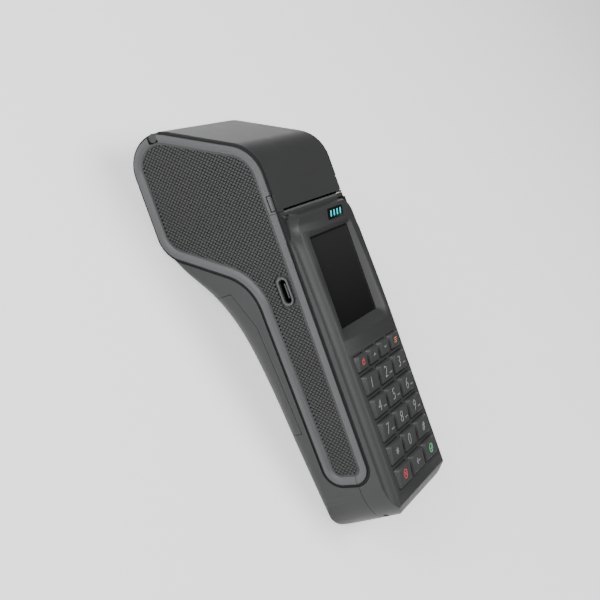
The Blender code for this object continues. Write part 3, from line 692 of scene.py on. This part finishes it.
RUBBER = rubber_finish("black_rubber")
# The seal's near-black rubber darkens the groove: painted shade.
SEAL_PAINTED_SHADE = rubber_finish("seal_painted_shade", 0.004, 0.8)
trim_view = grown(side_view(), -0.3)
for side, word in ((-1, "left"), (1, "right")):
    ring = levels(grown(RIM, GROOVE - 0.02), ((FLOOR_X - 0.4, 0), (35.3, 0), (35.6, -0.3)), side)
    ring = combine(ring, levels(grown(RIM, -0.2), ((30, 0), (40, 0)), side))
    ring = combine(ring, prism(trim_view, -WIDE, WIDE), operation="INTERSECT")
    lid_side = corners((LID_Y, 30), (LID_Y, -30), (hinge_in - 8, HINGE_Z), (190, HINGE_Z), (190, 30))
    on_lid = combine(ring.copy(), prism(lid_side, -WIDE, WIDE), operation="INTERSECT")
    low, high = sorted((side * 30, side * 40))
    on_lid = combine(on_lid, block((low, LATCH_Y[0] - 0.2, -9), (high, LATCH_Y[1] + 0.2, 0)),
                     block((low, HINGE_Y - 30, HINGE_Z - 1), (high, HINGE_Y + 30, HINGE_Z + 1.6)))
    piece(f"lid_shade_seal_{word}", on_lid, SEAL_PAINTED_SHADE, "lid")
    on_case = combine(ring, prism(grown(lid_side, 0.2), -WIDE, WIDE))
    piece(f"case_shade_seal_{word}", on_case, SEAL_PAINTED_SHADE, "case")
print("made four lengths of seal")

# %% [markdown]
# ## Side panels of fine mesh
#
# The panels are moulded to look like woven mesh: rows of small raised studs between valleys. A grid
# of diamond cells is made once, with every other row shifted by half a cell. Insetting each cell and
# lifting its middle turns it into a stud, and the inset's border becomes the valley. The valley's near-black
# finish is painted shade. Cells outside the rim's inner outline are dropped, and a flat border strip
# hides their stepped ends.

# %% Mesh finish and panels
CELL_Y, CELL_Z = 1.9, 2.1


def inside(point, outline):
    """True if the point lies in the closed outline."""
    hit = False
    for a, b in zip(outline, outline[1:] + outline[:1]):
        if (a.y > point.y) != (b.y > point.y):
            if point.x < (b.x - a.x) * (point.y - a.y) / (b.y - a.y) + a.x:
                hit = not hit
    return hit


def mesh_finish():
    graph = Graph("mesh_plastic")
    speck = graph.noise(0.00018, 2.0)
    flow = graph.noise(0.03, 2.0)
    shade = graph.mix(flow, four(grey(0.03, 0.03)), four(grey(0.04, 0.03)))
    return graph.set(Base_Color=shade, Roughness=0.42 + speck * 0.12, Normal=graph.bump(speck, 0.00001, 0.5),
                     Specular_IOR_Level=0.25)


MESH_STUD = mesh_finish()
# Near-black finish for the valleys between the studs: painted shade.
VALLEY_PAINTED_SHADE = rubber_finish("valley_painted_shade", 0.003, 0.85)


def lattice(side, keep_out):
    """Diamond cells over the field on one side, each a raised stud with a valley round it."""
    bm = bmesh.new()
    spots = {}

    def corner(y, z):
        key = (round(y, 3), round(z, 3))
        if key not in spots:
            spots[key] = bm.verts.new((side * 35.6, y, z))
        return spots[key]

    limit = grown(FIELD, 0.4)
    low_y, low_z = min(p.x for p in limit), min(p.y for p in limit)
    for row in range(round(190 / (CELL_Y / 2))):
        y = low_y + row * CELL_Y / 2
        for column in range(round(64 / CELL_Z)):
            z = low_z + column * CELL_Z + (row % 2) * CELL_Z / 2
            ends = ((y - CELL_Y / 2, z), (y, z - CELL_Z / 2), (y + CELL_Y / 2, z), (y, z + CELL_Z / 2))
            if all(inside(Vector(end), limit) for end in ends) and not keep_out(y, z):
                bm.faces.new([corner(*end) for end in ends])
    cells = bm.faces[:]
    bmesh.ops.inset_individual(bm, faces=cells, thickness=0.33, depth=0.0, use_even_offset=True)
    for f in cells:
        middle = f.calc_center_median()
        for v in f.verts:
            v.co.y = middle.y + (v.co.y - middle.y) * 0.78
    # The valleys take the second finish, which is painted shade.
    valleys = set(bm.faces) - set(cells)
    for f in valleys:
        f.material_index = 1
    bmesh.ops.inset_individual(bm, faces=cells, thickness=0.1, depth=0.0, use_even_offset=True)
    for v in {v for f in cells for v in f.verts}:
        v.co.x += side * 0.4
    return bm


def near_socket(y, z):
    return math.hypot(max(0.0, abs(y - SOCKET_Y) - 4.5), z - SOCKET_Z) < 3.6


for side, word in ((-1, "left"), (1, "right")):
    net = lattice(side, near_socket if side < 0 else lambda y, z: False)
    count = len(net.faces)
    piece(f"mesh_{word}", net, (MESH_STUD, VALLEY_PAINTED_SHADE), "case", [f"side_panel_{word}"], 60, tidy=False)
    border = levels(grown(FIELD, 0.25), ((35.0, 0), (36.03, 0)), side)
    border = combine(border, levels(grown(FIELD, -0.9), ((30, 0), (40, 0)), side))
    piece(f"mesh_border_{word}", border, SHELL, "case")
    print("mesh", word, "has", count, "faces")

# %% [markdown]
# ## Keys
#
# Each key is a rubber-backed cap with sloping sides and a top that tilts towards the user's thumb. It
# rides on its own body, so it can be pressed. Its sides are one extrusion through rounded rectangles, and
# the tilt comes from giving each ring's corners a height that rises towards the head.

# %% Key caps
LOW, HIGH = 1.0, 2.2


def key_cap(centre, base, top):
    rings = []
    skirt = (base[0] - 0.1, base[1] - 0.1)
    for size, radius, share, rise in (
            (skirt, 0.9, 0, -3.0), (skirt, 0.9, 0, 0.1), ((base[0] - 0.35, base[1] - 0.3), 0.9, 0.12, 0.12),
            ((top[0] + 0.25, top[1] + 0.2), 0.9, 0.9, 0.0), ((top[0], top[1]), 0.85, 1.0, -0.02),
            ((top[0] - 0.4, top[1] - 0.4), 0.7, 1.0, 0.06), ((top[0] - 1.6, top[1] - 1.6), 0.5, 1.0, 0.03)):
        ring = rectangle(*centre, *size, radius, step=22.5)
        tilt = [(p.y - centre[1]) / top[1] + 0.5 for p in ring]
        rings.append([(p.x, p.y, (LOW + (HIGH - LOW) * t) * share + rise) for p, t in zip(ring, tilt)])
    return through(rings)


for name, centre, base, top in key_places():
    piece(f"cap_{name}", key_cap(centre, base, top), KEY_PLASTIC, f"key_{name}", [f"key_{name}"], 35)
print("made", len(list(key_places())), "key caps")

# %% [markdown]
# ## Printed digits and symbols
#
# The digits are printed in thin light strokes. A font curve turns into a mesh of the outline, which a
# short extrusion lifts off the cap. The function keys carry plain symbols of ring, bar and arrow shapes.
# A tiny row of dashes stands where a keypad has its small print.

# %% Printed marks
def ink(name, colour, glow=0.0):
    """Printing ink: flat colour with a little mottling, and a faint painted glow where glow is above 0."""
    graph = Graph(name)
    mottle = graph.noise(0.0006, 3.0)
    dark = tuple(c * 0.8 for c in colour)
    return graph.set(Base_Color=graph.mix(mottle, four(dark), four(colour)), Roughness=0.5 + mottle * 0.15,
                     Emission_Color=four(colour), Emission_Strength=glow)


WHITE_INK = ink("white_ink", (0.36, 0.37, 0.39))
# The red, amber and green inks emit faintly: a painted glow on marks that give no light.
RED_INK = ink("red_ink", (0.75, 0.09, 0.09), 0.12)
AMBER_INK = ink("amber_ink", (0.85, 0.28, 0.12), 0.12)
GREEN_INK = ink("green_ink", (0.15, 0.75, 0.3), 0.12)


def digit(text, size, thin=-0.02):
    """A digit's outline as flat faces, centred on the origin."""
    curve = bpy.data.curves.new("digit", "FONT")
    curve.body = text
    curve.size = size
    curve.offset = thin * size
    curve.resolution_u = 3
    curve.align_x = "CENTER"
    curve.align_y = "CENTER"
    holder = bpy.data.objects.new("digit", curve)
    bpy.context.scene.collection.objects.link(holder)
    bpy.context.view_layer.update()
    mesh = bpy.data.meshes.new_from_object(holder.evaluated_get(bpy.context.evaluated_depsgraph_get()))
    bm = bmesh.new()
    bm.from_mesh(mesh)
    bpy.data.objects.remove(holder, do_unlink=True)
    bmesh.ops.remove_doubles(bm, verts=bm.verts, dist=1e-4)
    return bm


def bar(x0, y0, x1, y1, wide=0.4):
    """A flat stroke from one point to another."""
    bm = bmesh.new()
    bmesh.ops.create_grid(bm, x_segments=1, y_segments=1, size=0.5)
    run = Vector((x1 - x0, y1 - y0, 0))
    bmesh.ops.scale(bm, verts=bm.verts, vec=(run.length + wide * 0.6, wide, 1))
    turn = Matrix.Rotation(math.atan2(run.y, run.x), 4, "Z")
    middle = Matrix.Translation(((x0 + x1) / 2, (y0 + y1) / 2, 0))
    bmesh.ops.transform(bm, verts=bm.verts, matrix=middle @ turn)
    return bm


def strokes(*lines):
    bm = bmesh.new()
    for line in lines:
        put(bm, bar(*line))
    return bm


def ring_stroke(radius, wide=0.4, first=0.0, last=360.0):
    """A flat arc of a circle, in degrees from the x axis."""
    bm = bmesh.new()
    verts = [bm.verts.new((radius - wide / 2, 0, 0)), bm.verts.new((radius + wide / 2, 0, 0))]
    edge = bm.edges.new(verts)
    bmesh.ops.rotate(bm, verts=verts, cent=(0, 0, 0), matrix=Matrix.Rotation(math.radians(first), 3, "Z"))
    bmesh.ops.spin(bm, geom=verts + [edge], axis=(0, 0, -1), cent=(0, 0, 0), angle=math.radians(first - last),
                   steps=20)
    return bm


def symbol(name):
    """The flat mark of a function key and its ink."""
    if name == "power":
        return put(ring_stroke(1.25, 0.4, 120, 420), bar(0, 0.4, 0, 1.8)), RED_INK
    if name == "menu":
        return strokes((-1.4, -1, 1.4, -1), (-1.4, 0, 1.4, 0), (-1.4, 1, 1.4, 1)), AMBER_INK
    if name in ("up", "down"):
        tip = 0.8 if name == "up" else -0.8
        return strokes((-1, -tip * 0.5, 0, tip * 0.5), (0, tip * 0.5, 1, -tip * 0.5)), WHITE_INK
    if name == "cancel":
        return put(ring_stroke(2.0), strokes((-0.8, -0.8, 0.8, 0.8), (-0.8, 0.8, 0.8, -0.8))), RED_INK
    if name == "clear":
        return strokes((-2.2, 0, 2.0, 0), (-2.2, 0, -0.9, 1.3), (-2.2, 0, -0.9, -1.3)), WHITE_INK
    if name == "enter":
        return put(ring_stroke(2.0), strokes((-0.9, 0, -0.2, -0.8), (-0.2, -0.8, 1.0, 0.8))), GREEN_INK
    if name == "star":
        angles = (math.pi / 2, math.pi * 7 / 6, math.pi * 11 / 6)
        arms = [(1.5 * math.cos(angle), 1.5 * math.sin(angle)) for angle in angles]
        return strokes(*[(-x, -y, x, y) for x, y in arms]), WHITE_INK
    return strokes((-0.9, -1.9, -0.4, 1.9), (0.4, -1.9, 0.9, 1.9), (-1.7, -0.7, 1.5, -0.7),
                   (-1.5, 0.7, 1.7, 0.7)), WHITE_INK


def on_key(bm, centre, top):
    """Lifts flat marks on to a cap's tilted top and gives them a thickness of 0.06 mm."""
    new = bmesh.ops.extrude_face_region(bm, geom=bm.faces[:], use_keep_orig=True)["geom"]
    bmesh.ops.translate(bm, verts=[v for v in new if isinstance(v, bmesh.types.BMVert)], vec=(0, 0, 0.06))
    middle = (LOW + HIGH) / 2 + 0.035
    place = Matrix.Translation((*centre, middle)) @ Matrix.Rotation(math.atan((HIGH - LOW) / top[1]), 4, "X")
    bmesh.ops.transform(bm, verts=bm.verts, matrix=place)
    return bm


for name, centre, base, top in key_places():
    if name.isdigit():
        marks, finish = digit(name, 7.8), WHITE_INK
        bmesh.ops.translate(marks, verts=marks.verts, vec=(-1.6, 0, 0))
        if name not in "01":
            for k in range(3):
                put(marks, bar(2.5 + k * 1.1, -1.4, 2.8 + k * 1.1, -1.4, 0.5))
    else:
        marks, finish = symbol(name)
    piece(f"mark_{name}", on_key(marks, centre, top), finish, f"key_{name}", edge=30, tidy=False)
print("printed", len(bpy.data.materials), "materials so far")

# %% [markdown]
# ## Screen glass
#
# The screen is a pane of black glass, bonded over a dark display. A narrow printed border is fully
# black. The glass's base colour is a very dark grey that lifts a little towards the head, a painted
# reflection fixed to the glass. The pane's arris, its ground edge, catches a thin line of light.

# %% Lens and status window
def glass_finish():
    graph = Graph("screen_glass")
    along = graph.node("ShaderNodeSeparateXYZ", {}, {0: graph.place})["Y"]
    # The base colour lifts towards the head: a painted reflection.
    painted_reflection = graph.between(along, -0.03, 0.022)
    speck = graph.noise(0.0025, 4.0, 0.7)
    smear = graph.between(graph.noise(0.02, 5.0, 0.6), 0.45, 0.8)
    shade = graph.mix(painted_reflection, four((0.0006, 0.0006, 0.0007)), four((0.022, 0.022, 0.023)))
    return graph.set(Base_Color=shade, Roughness=0.05 + smear * 0.06 + speck * 0.02, IOR=1.2)


SCREEN_GLASS = glass_finish()
BLACK_GLOSS = moulded("window_black", 0.004, gloss=0.12, grain=0.0006, depth=0.000001)
pane = levels(rectangle(0, SCREEN_Y, 43.1, 43.3, 0.8), ((-4.6, 0), (-3.25, 0), (-3.1, -0.15)))
piece("screen_pane", pane, SCREEN_GLASS, "case", ["screen_lens"])
frame_mark = levels(rectangle(0, SCREEN_Y, 42.8, 43.0, 0.7), ((-3.12, 0), (-3.08, -0.02)))
frame_mark = combine(frame_mark, levels(rectangle(0, SCREEN_Y, 41.2, 41.4, 0.4), ((-6, 0), (0, 0))))
piece("screen_border", frame_mark, BLACK_GLOSS, "case")


def lamp_finish():
    graph = Graph("cyan_lamp")
    core = graph.between(graph.noise(0.0015, 2.0), 0.2, 0.8)
    glow = graph.mix(core, four((0.0, 0.7, 0.78)), four((0.0, 1.0, 1.0)))
    return graph.set(Base_Color=four((0.0, 0.5, 0.55)), Roughness=0.3 + core * 0.1, Emission_Color=glow,
                     Emission_Strength=0.75)


LAMP = lamp_finish()
status = levels(rectangle(*LIGHTS, 16.6, 4.4, 0.6, LEAN), ((-3.4, 0), (-1.45, 0), (-1.3, -0.2)))
bars = bmesh.new()
for k in range(4):
    place = (LIGHTS[0] + (k - 1.5) * 3.6, LIGHTS[1])
    put(bars, levels(rectangle(*place, 1.5, 3.0, 0.3, 1.7), ((-3.4, 0), (-0.5, 0))))
    lamp = levels(rectangle(*place, 1.3, 2.8, 0.25, 1.6), ((-3.3, 0), (-1.32, 0), (-1.27, -0.1)))
    piece(f"lamp_{k + 1}", lamp, LAMP, "case", [f"light_bar_{k + 1}"])
piece("status_window", combine(status, bars), BLACK_GLOSS, "case", ["light_window"])
print("glass, window and four lamps are in")

# %% [markdown]
# ## Charging socket
#
# The socket in the left side has a plastic collar, a drawn steel shell and a tongue with contacts. The
# collar and the shell are long rounded slots, one outline made at two sizes, and the tongue is a block
# with bevelled edges. The contacts are a row of small gilt strips on the tongue.

# %% Socket pieces
def metal_finish(name, colour, rough=0.28, grain=0.0004):
    """Bright metal with fine rolling marks and a little staining."""
    graph = Graph(name)
    stretched = graph.node("ShaderNodeMapping", {}, {"Vector": graph.place, "Scale": (1, 12, 12)})["Vector"]
    marks = graph.node("ShaderNodeTexNoise", {},
                       {"Vector": stretched, "Scale": 1 / grain / 8, "Detail": 3.0})["Fac"]
    stain = graph.noise(0.006, 3.0)
    dark = tuple(c * 0.75 for c in colour)
    return graph.set(Base_Color=graph.mix(stain, four(dark), four(colour)), Metallic=1.0,
                     Roughness=rough + marks * 0.15, Normal=graph.bump(marks, 0.000004, 0.4))


STEEL = metal_finish("steel", (0.62, 0.63, 0.64))
DARK_STEEL = metal_finish("dark_steel", (0.02, 0.02, 0.021), 0.5)
GILT = metal_finish("gilt", (0.85, 0.6, 0.25), 0.25)


def slot_outline(length, height):
    """A long rounded slot round the socket's centre, in (y, z)."""
    return rectangle(SOCKET_Y, SOCKET_Z, length, height, height / 2 - 0.01, step=12)


collar = levels(slot_outline(13.2, 5.6), ((26.9, 0), (36.35, 0), (36.55, -0.12), (36.6, -0.35), (36.6, -0.75),
                                          (36.3, -1.05), (27.4, -1.1)), -1)
piece("socket_ring", collar, RIM_PLASTIC, "case", ["socket_collar"])
can = levels(slot_outline(10.9, 3.3), ((27.5, 0), (35.4, 0), (35.4, -0.3), (28, -0.3)), -1)
piece("socket_can", can, DARK_STEEL, "case", ["socket_shell"])
tongue = block((-34.6, SOCKET_Y - 3.4, SOCKET_Z - 0.35), (-28.2, SOCKET_Y + 3.4, SOCKET_Z + 0.35))
bmesh.ops.bevel(tongue, geom=tongue.edges[:], offset=0.12, offset_type="OFFSET", segments=2, profile=0.5,
                affect="EDGES", material=-1)
piece("socket_blade", tongue, KEY_PLASTIC, "case", ["socket_tongue"])
contacts = bmesh.new()
for k in range(12):
    y = SOCKET_Y + (k - 5.5) * 0.5
    for z in (-0.38, 0.34):
        put(contacts, block((-34.2, y - 0.12, SOCKET_Z + z), (-29, y + 0.12, SOCKET_Z + z + 0.04)))
piece("socket_contacts", contacts, GILT, "case", tidy=False)
print("the socket is in")

# %% [markdown]
# ## Press tabs, feet, screws and hinge pin
#
# A small press tab in each side of the rim frees the lid. It is a rounded pad with a bevelled edge. The
# feet are soft discs with a rounded lower edge, and the door's two screws have a cross recess cut by two
# crossed blades.

# %% Small fittings
for side, word in ((-1, "left"), (1, "right")):
    low, high = sorted((side * 35.0, side * 36.72))
    tab = block((low, 86.5, -8.2), (high, 93.3, -6.72))
    bmesh.ops.bevel(tab, geom=tab.edges[:], offset=0.3, offset_type="OFFSET", segments=3, profile=0.5,
                    affect="EDGES", material=-1)
    piece(f"press_tab_{word}", tab, RIM_PLASTIC, f"latch_{word}_tab", [f"latch_{word}"])
for word, (x, y) in FEET.items():
    foot = upright(x, y, 4.0, ((0, -0.6), (0.15, -0.2), (0.5, 0), (2.2, 0)))
    piece(f"rubber_foot_{word}", foot, RUBBER, "case", [f"foot_{word}"])
for word, x in (("left", -12), ("right", 12)):
    head = bmesh.new()
    bmesh.ops.create_cone(head, cap_ends=True, segments=32, radius1=2.35, radius2=2.0, depth=0.9)
    rims = [e for e in head.edges if all(v.co.z < -0.4 for v in e.verts) and len(e.link_faces) == 2]
    bmesh.ops.bevel(head, geom=rims, offset=0.3, offset_type="OFFSET", segments=3, profile=0.5,
                    affect="EDGES", material=-1)
    head = combine(head, block((-1.3, -0.28, -1), (1.3, 0.28, 0.1)),
                   block((-0.28, -1.3, -1), (0.28, 1.3, 0.1)))
    bmesh.ops.transform(head, matrix=door_screw_place(x) @ Matrix.Translation((0, 0, 0.3)), verts=head.verts)
    piece(f"screw_{word}", head, STEEL, "case", [f"door_screw_{word}"])
pin = spun(((0, -35), (0.7, -35), (1.0, -34.7), (1.0, 34.7), (0.7, 35), (0, 35)), HINGE_Y, HINGE_Z, 24)
piece("steel_pin", pin, STEEL, "lid", ["hinge_pin"])
print("fittings are in")

# %% [markdown]
# ## Printer works
#
# Lifting the lid shows the paper roll in its well, the print head with its spring, the rubber platen and
# three gears. The roll is a turned solid with a cardboard core, and its end faces have the fine rings of
# wound paper. The gears have rounded teeth, made by walking once round a circle, and the tear bar is a
# strip of small saw teeth.

# %% Paper, gears and tear bar
def paper_finish():
    graph = Graph("thermal_paper")
    swirl = graph.noise(0.0015, 4.0)
    rings = graph.node("ShaderNodeMapping", {},
                       {"Vector": graph.place, "Location": (0, -0.0706, -0.0277)})["Vector"]
    parts = graph.node("ShaderNodeSeparateXYZ", {}, {0: rings})
    squares = parts["Y"] * parts["Y"] + parts["Z"] * parts["Z"]
    radius = squares.maths("SQRT", squares)
    phase = radius * 18000
    wound = phase.maths("SINE", phase) * 0.5 + 0.5
    shade = graph.mix(wound * 0.35, four((0.82, 0.82, 0.8)), four((0.6, 0.6, 0.58)))
    return graph.set(Base_Color=shade, Roughness=0.75 + swirl * 0.15, Normal=graph.bump(wound, 0.00003, 0.4))


def card_finish():
    graph = Graph("grey_card")
    fibre = graph.noise(0.0006, 5.0, 0.7)
    return graph.set(Base_Color=graph.mix(fibre, four((0.32, 0.28, 0.22)), four((0.45, 0.4, 0.33))),
                     Roughness=0.9, Normal=graph.bump(fibre, 0.00004, 0.5))


PAPER, CARD = paper_finish(), card_finish()
ROLL_Y, ROLL_Z = 107.5, -45.0
roll = spun(((7.0, -28.4), (19.2, -28.5), (19.5, -28.3), (19.5, 28.3), (19.2, 28.5), (7.0, 28.4),
             (7.0, -28.4)), ROLL_Y, ROLL_Z, 96)
piece("paper_wound", roll, PAPER, "roll", ["paper_roll"])
core = spun(((6.3, -28.5), (7.05, -28.5), (7.05, 28.5), (6.3, 28.5), (6.3, -28.5)), ROLL_Y, ROLL_Z, 48)
piece("paper_core", core, CARD, "roll")
platen = spun(((0, -31), (1.3, -31), (1.5, -30.8), (1.5, -28.7), (3.9, -28.7), (4.2, -28.4), (4.2, 28.4),
               (3.9, 28.7), (1.5, 28.7), (1.5, 30.8), (0, 30.8)), *PLATEN_AXIS, 48)
piece("platen_rubber", platen, RUBBER, "platen", ["platen_roller"])


def gear(teeth, radius, centre, hub):
    """A spur gear between x 31.1 and 32.4, its teeth following a softened wave."""
    outline = []
    for k in range(teeth * 8):
        wave = math.sin(2 * math.pi * k / 8)
        reach = radius - 0.35 + 0.35 * max(-1.0, min(1.0, wave * 1.5))
        angle = 2 * math.pi * (k - 2) / (teeth * 8)
        outline.append(Vector((centre[0] + reach * math.cos(angle), centre[1] + reach * math.sin(angle))))
    wheel = prism(outline, 31.1, 32.4)
    if hub:
        dish = spun(((hub + 0.8, 32.1), (hub + 0.8, 33), (radius - 1.6, 33), (radius - 1.6, 32.1),
                     (hub + 0.8, 32.1)), *centre, 48)
        wheel = combine(wheel, dish, spun(((0, 30), (0.75, 30), (0.75, 34), (0, 34)), *centre, 24))
    return wheel


piece("gear_platen", gear(14, 4.4, PLATEN_AXIS, 0), GEAR_PLASTIC, "platen", ["platen_gear"])
piece("gear_idler", gear(24, 7.75, IDLER_AXIS, 1.6), GEAR_PLASTIC, "idler", ["idler_gear"])
pinion = combine(gear(10, 3.3, PINION_AXIS, 0),
                 spun(((0, 29.8), (1.0, 29.8), (1.0, 31.6), (0, 31.6)), *PINION_AXIS, 24), operation="UNION")
piece("gear_pinion", pinion, GEAR_PLASTIC, "pinion", ["motor_pinion"])
teeth = [(29.5, -7.9), (-29.5, -7.9)]
for k in range(59):
    teeth += [(-29.5 + k, -6.25), (-29.0 + k, -6.05)]
blade = through([[(x, y, z) for x, z in teeth + [(29.5, -6.25)]] for y in (84.35, 85.28)])
piece("tear_strip", blade, SHELL, "case", ["tear_bar"], tidy=False)
print("the printer works are in")

# %% [markdown]
# ## Finishes for the inner pieces
#
# The board, the battery, the motor and the rest keep their CAD shapes, because they only show through
# the open lid or in a cutaway. Each still gets a real finish: solder mask with copper tracks, a printed
# sleeve, drawn steel and black elastomer.

# %% Inner finishes
def board_finish():
    graph = Graph("solder_mask")
    tracks = graph.node("ShaderNodeTexVoronoi", {"distance": "MANHATTAN", "feature": "F1"},
                        {"Vector": graph.place, "Scale": 420.0})["Distance"]
    track = graph.between(tracks, 0.42, 0.5)
    shade = graph.mix(track, four((0.012, 0.09, 0.035)), four((0.03, 0.19, 0.08)))
    return graph.set(Base_Color=shade, Roughness=0.35 + track * 0.1, Normal=graph.bump(track, 0.00003, 0.5))


def sleeve_finish():
    graph = Graph("battery_sleeve")
    crinkle = graph.noise(0.004, 4.0, 0.6)
    shade = graph.mix(crinkle, four((0.02, 0.045, 0.12)), four((0.035, 0.07, 0.17)))
    return graph.set(Base_Color=shade, Roughness=0.3 + crinkle * 0.2,
                     Normal=graph.bump(crinkle, 0.00015, 0.4))


BOARD, SLEEVE = board_finish(), sleeve_finish()
INNER = {"main_board": BOARD, "lcd_module": BOARD, "contactless_antenna": BOARD, "battery_pack": SLEEVE,
         "card_reader": STEEL, "stepper_motor": STEEL, "print_head_spring": STEEL,
         "print_head": BLACK_PLASTIC, "keypad_mat": RUBBER, "speaker": RUBBER}
for name, finish in INNER.items():
    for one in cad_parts[name].material_slots:
        one.material = finish
shown = [name for name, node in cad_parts.items() if not node.hide_render]
print("CAD nodes still shown:", sorted(shown))

# %% [markdown]
# ## Floor, lights and camera
#
# The terminal rests on a plain pale floor. A large soft lamp stands on the left, where it lights the
# mesh side best, and weaker ones fill the top and the face. The camera has a normal lens and looks down
# on the left side from beyond the keypad's shoulder, so that the side, the face and the head all show.

# %% Studio
def pale_floor():
    graph = Graph("pale_floor")
    cloud = graph.noise(0.5, 2.0)
    shade = graph.mix(cloud, four((0.86, 0.86, 0.86)), four((0.9, 0.9, 0.9)))
    return graph.set(Base_Color=shade, Roughness=0.9, Specular_IOR_Level=0.1, Emission_Color=four((1, 1, 1)),
                     Emission_Strength=0.8)


floor_bm = bmesh.new()
bmesh.ops.create_grid(floor_bm, x_segments=8, y_segments=8, size=6)
floor = as_object("floor", floor_bm)
floor.data.materials.append(pale_floor())

CAMERA_AXES = Matrix(((0.421, 0.215, -0.881), (-0.335, 0.940, 0.070), (0.843, 0.266, 0.468)))
camera = bpy.data.cameras.new("camera")
camera.lens = 68.2
eye = bpy.data.objects.new("camera", camera)
bpy.context.scene.collection.objects.link(eye)
eye.matrix_world = (Matrix.Translation(TO_WORLD @ Vector((-472.84, 80.88, 222.13)))
                    @ (Matrix.Rotation(TILT, 3, "X") @ CAMERA_AXES).to_4x4())
bpy.context.scene.camera = eye


def soft_light(name, place, aim, size, power):
    lamp = bpy.data.lights.new(name, "AREA")
    lamp.shape = "RECTANGLE"
    lamp.size, lamp.size_y = size
    lamp.energy = power
    made = bpy.data.objects.new(name, lamp)
    bpy.context.scene.collection.objects.link(made)
    made.location = place
    made.rotation_euler = (Vector(aim) - Vector(place)).to_track_quat("-Z", "Y").to_euler()


soft_light("left_light", (-1.1, 0.45, 0.45), (0, 0.02, 0.04), (0.9, 0.5), 22)
soft_light("head_light", (-0.1, 1.0, 0.7), (0, 0.05, 0.04), (0.8, 0.4), 1.5)
soft_light("face_light", (0.3, -0.3, 1.3), (0, 0, 0.05), (0.8, 0.8), 15)
world = bpy.data.worlds.new("studio")
bpy.context.scene.world = world
world.use_nodes = True
world.node_tree.nodes["Background"].inputs["Color"].default_value = (1, 1, 1, 1)
world.node_tree.nodes["Background"].inputs["Strength"].default_value = 0.12
print("the camera stands", round(eye.location.length, 2), "m from the origin")
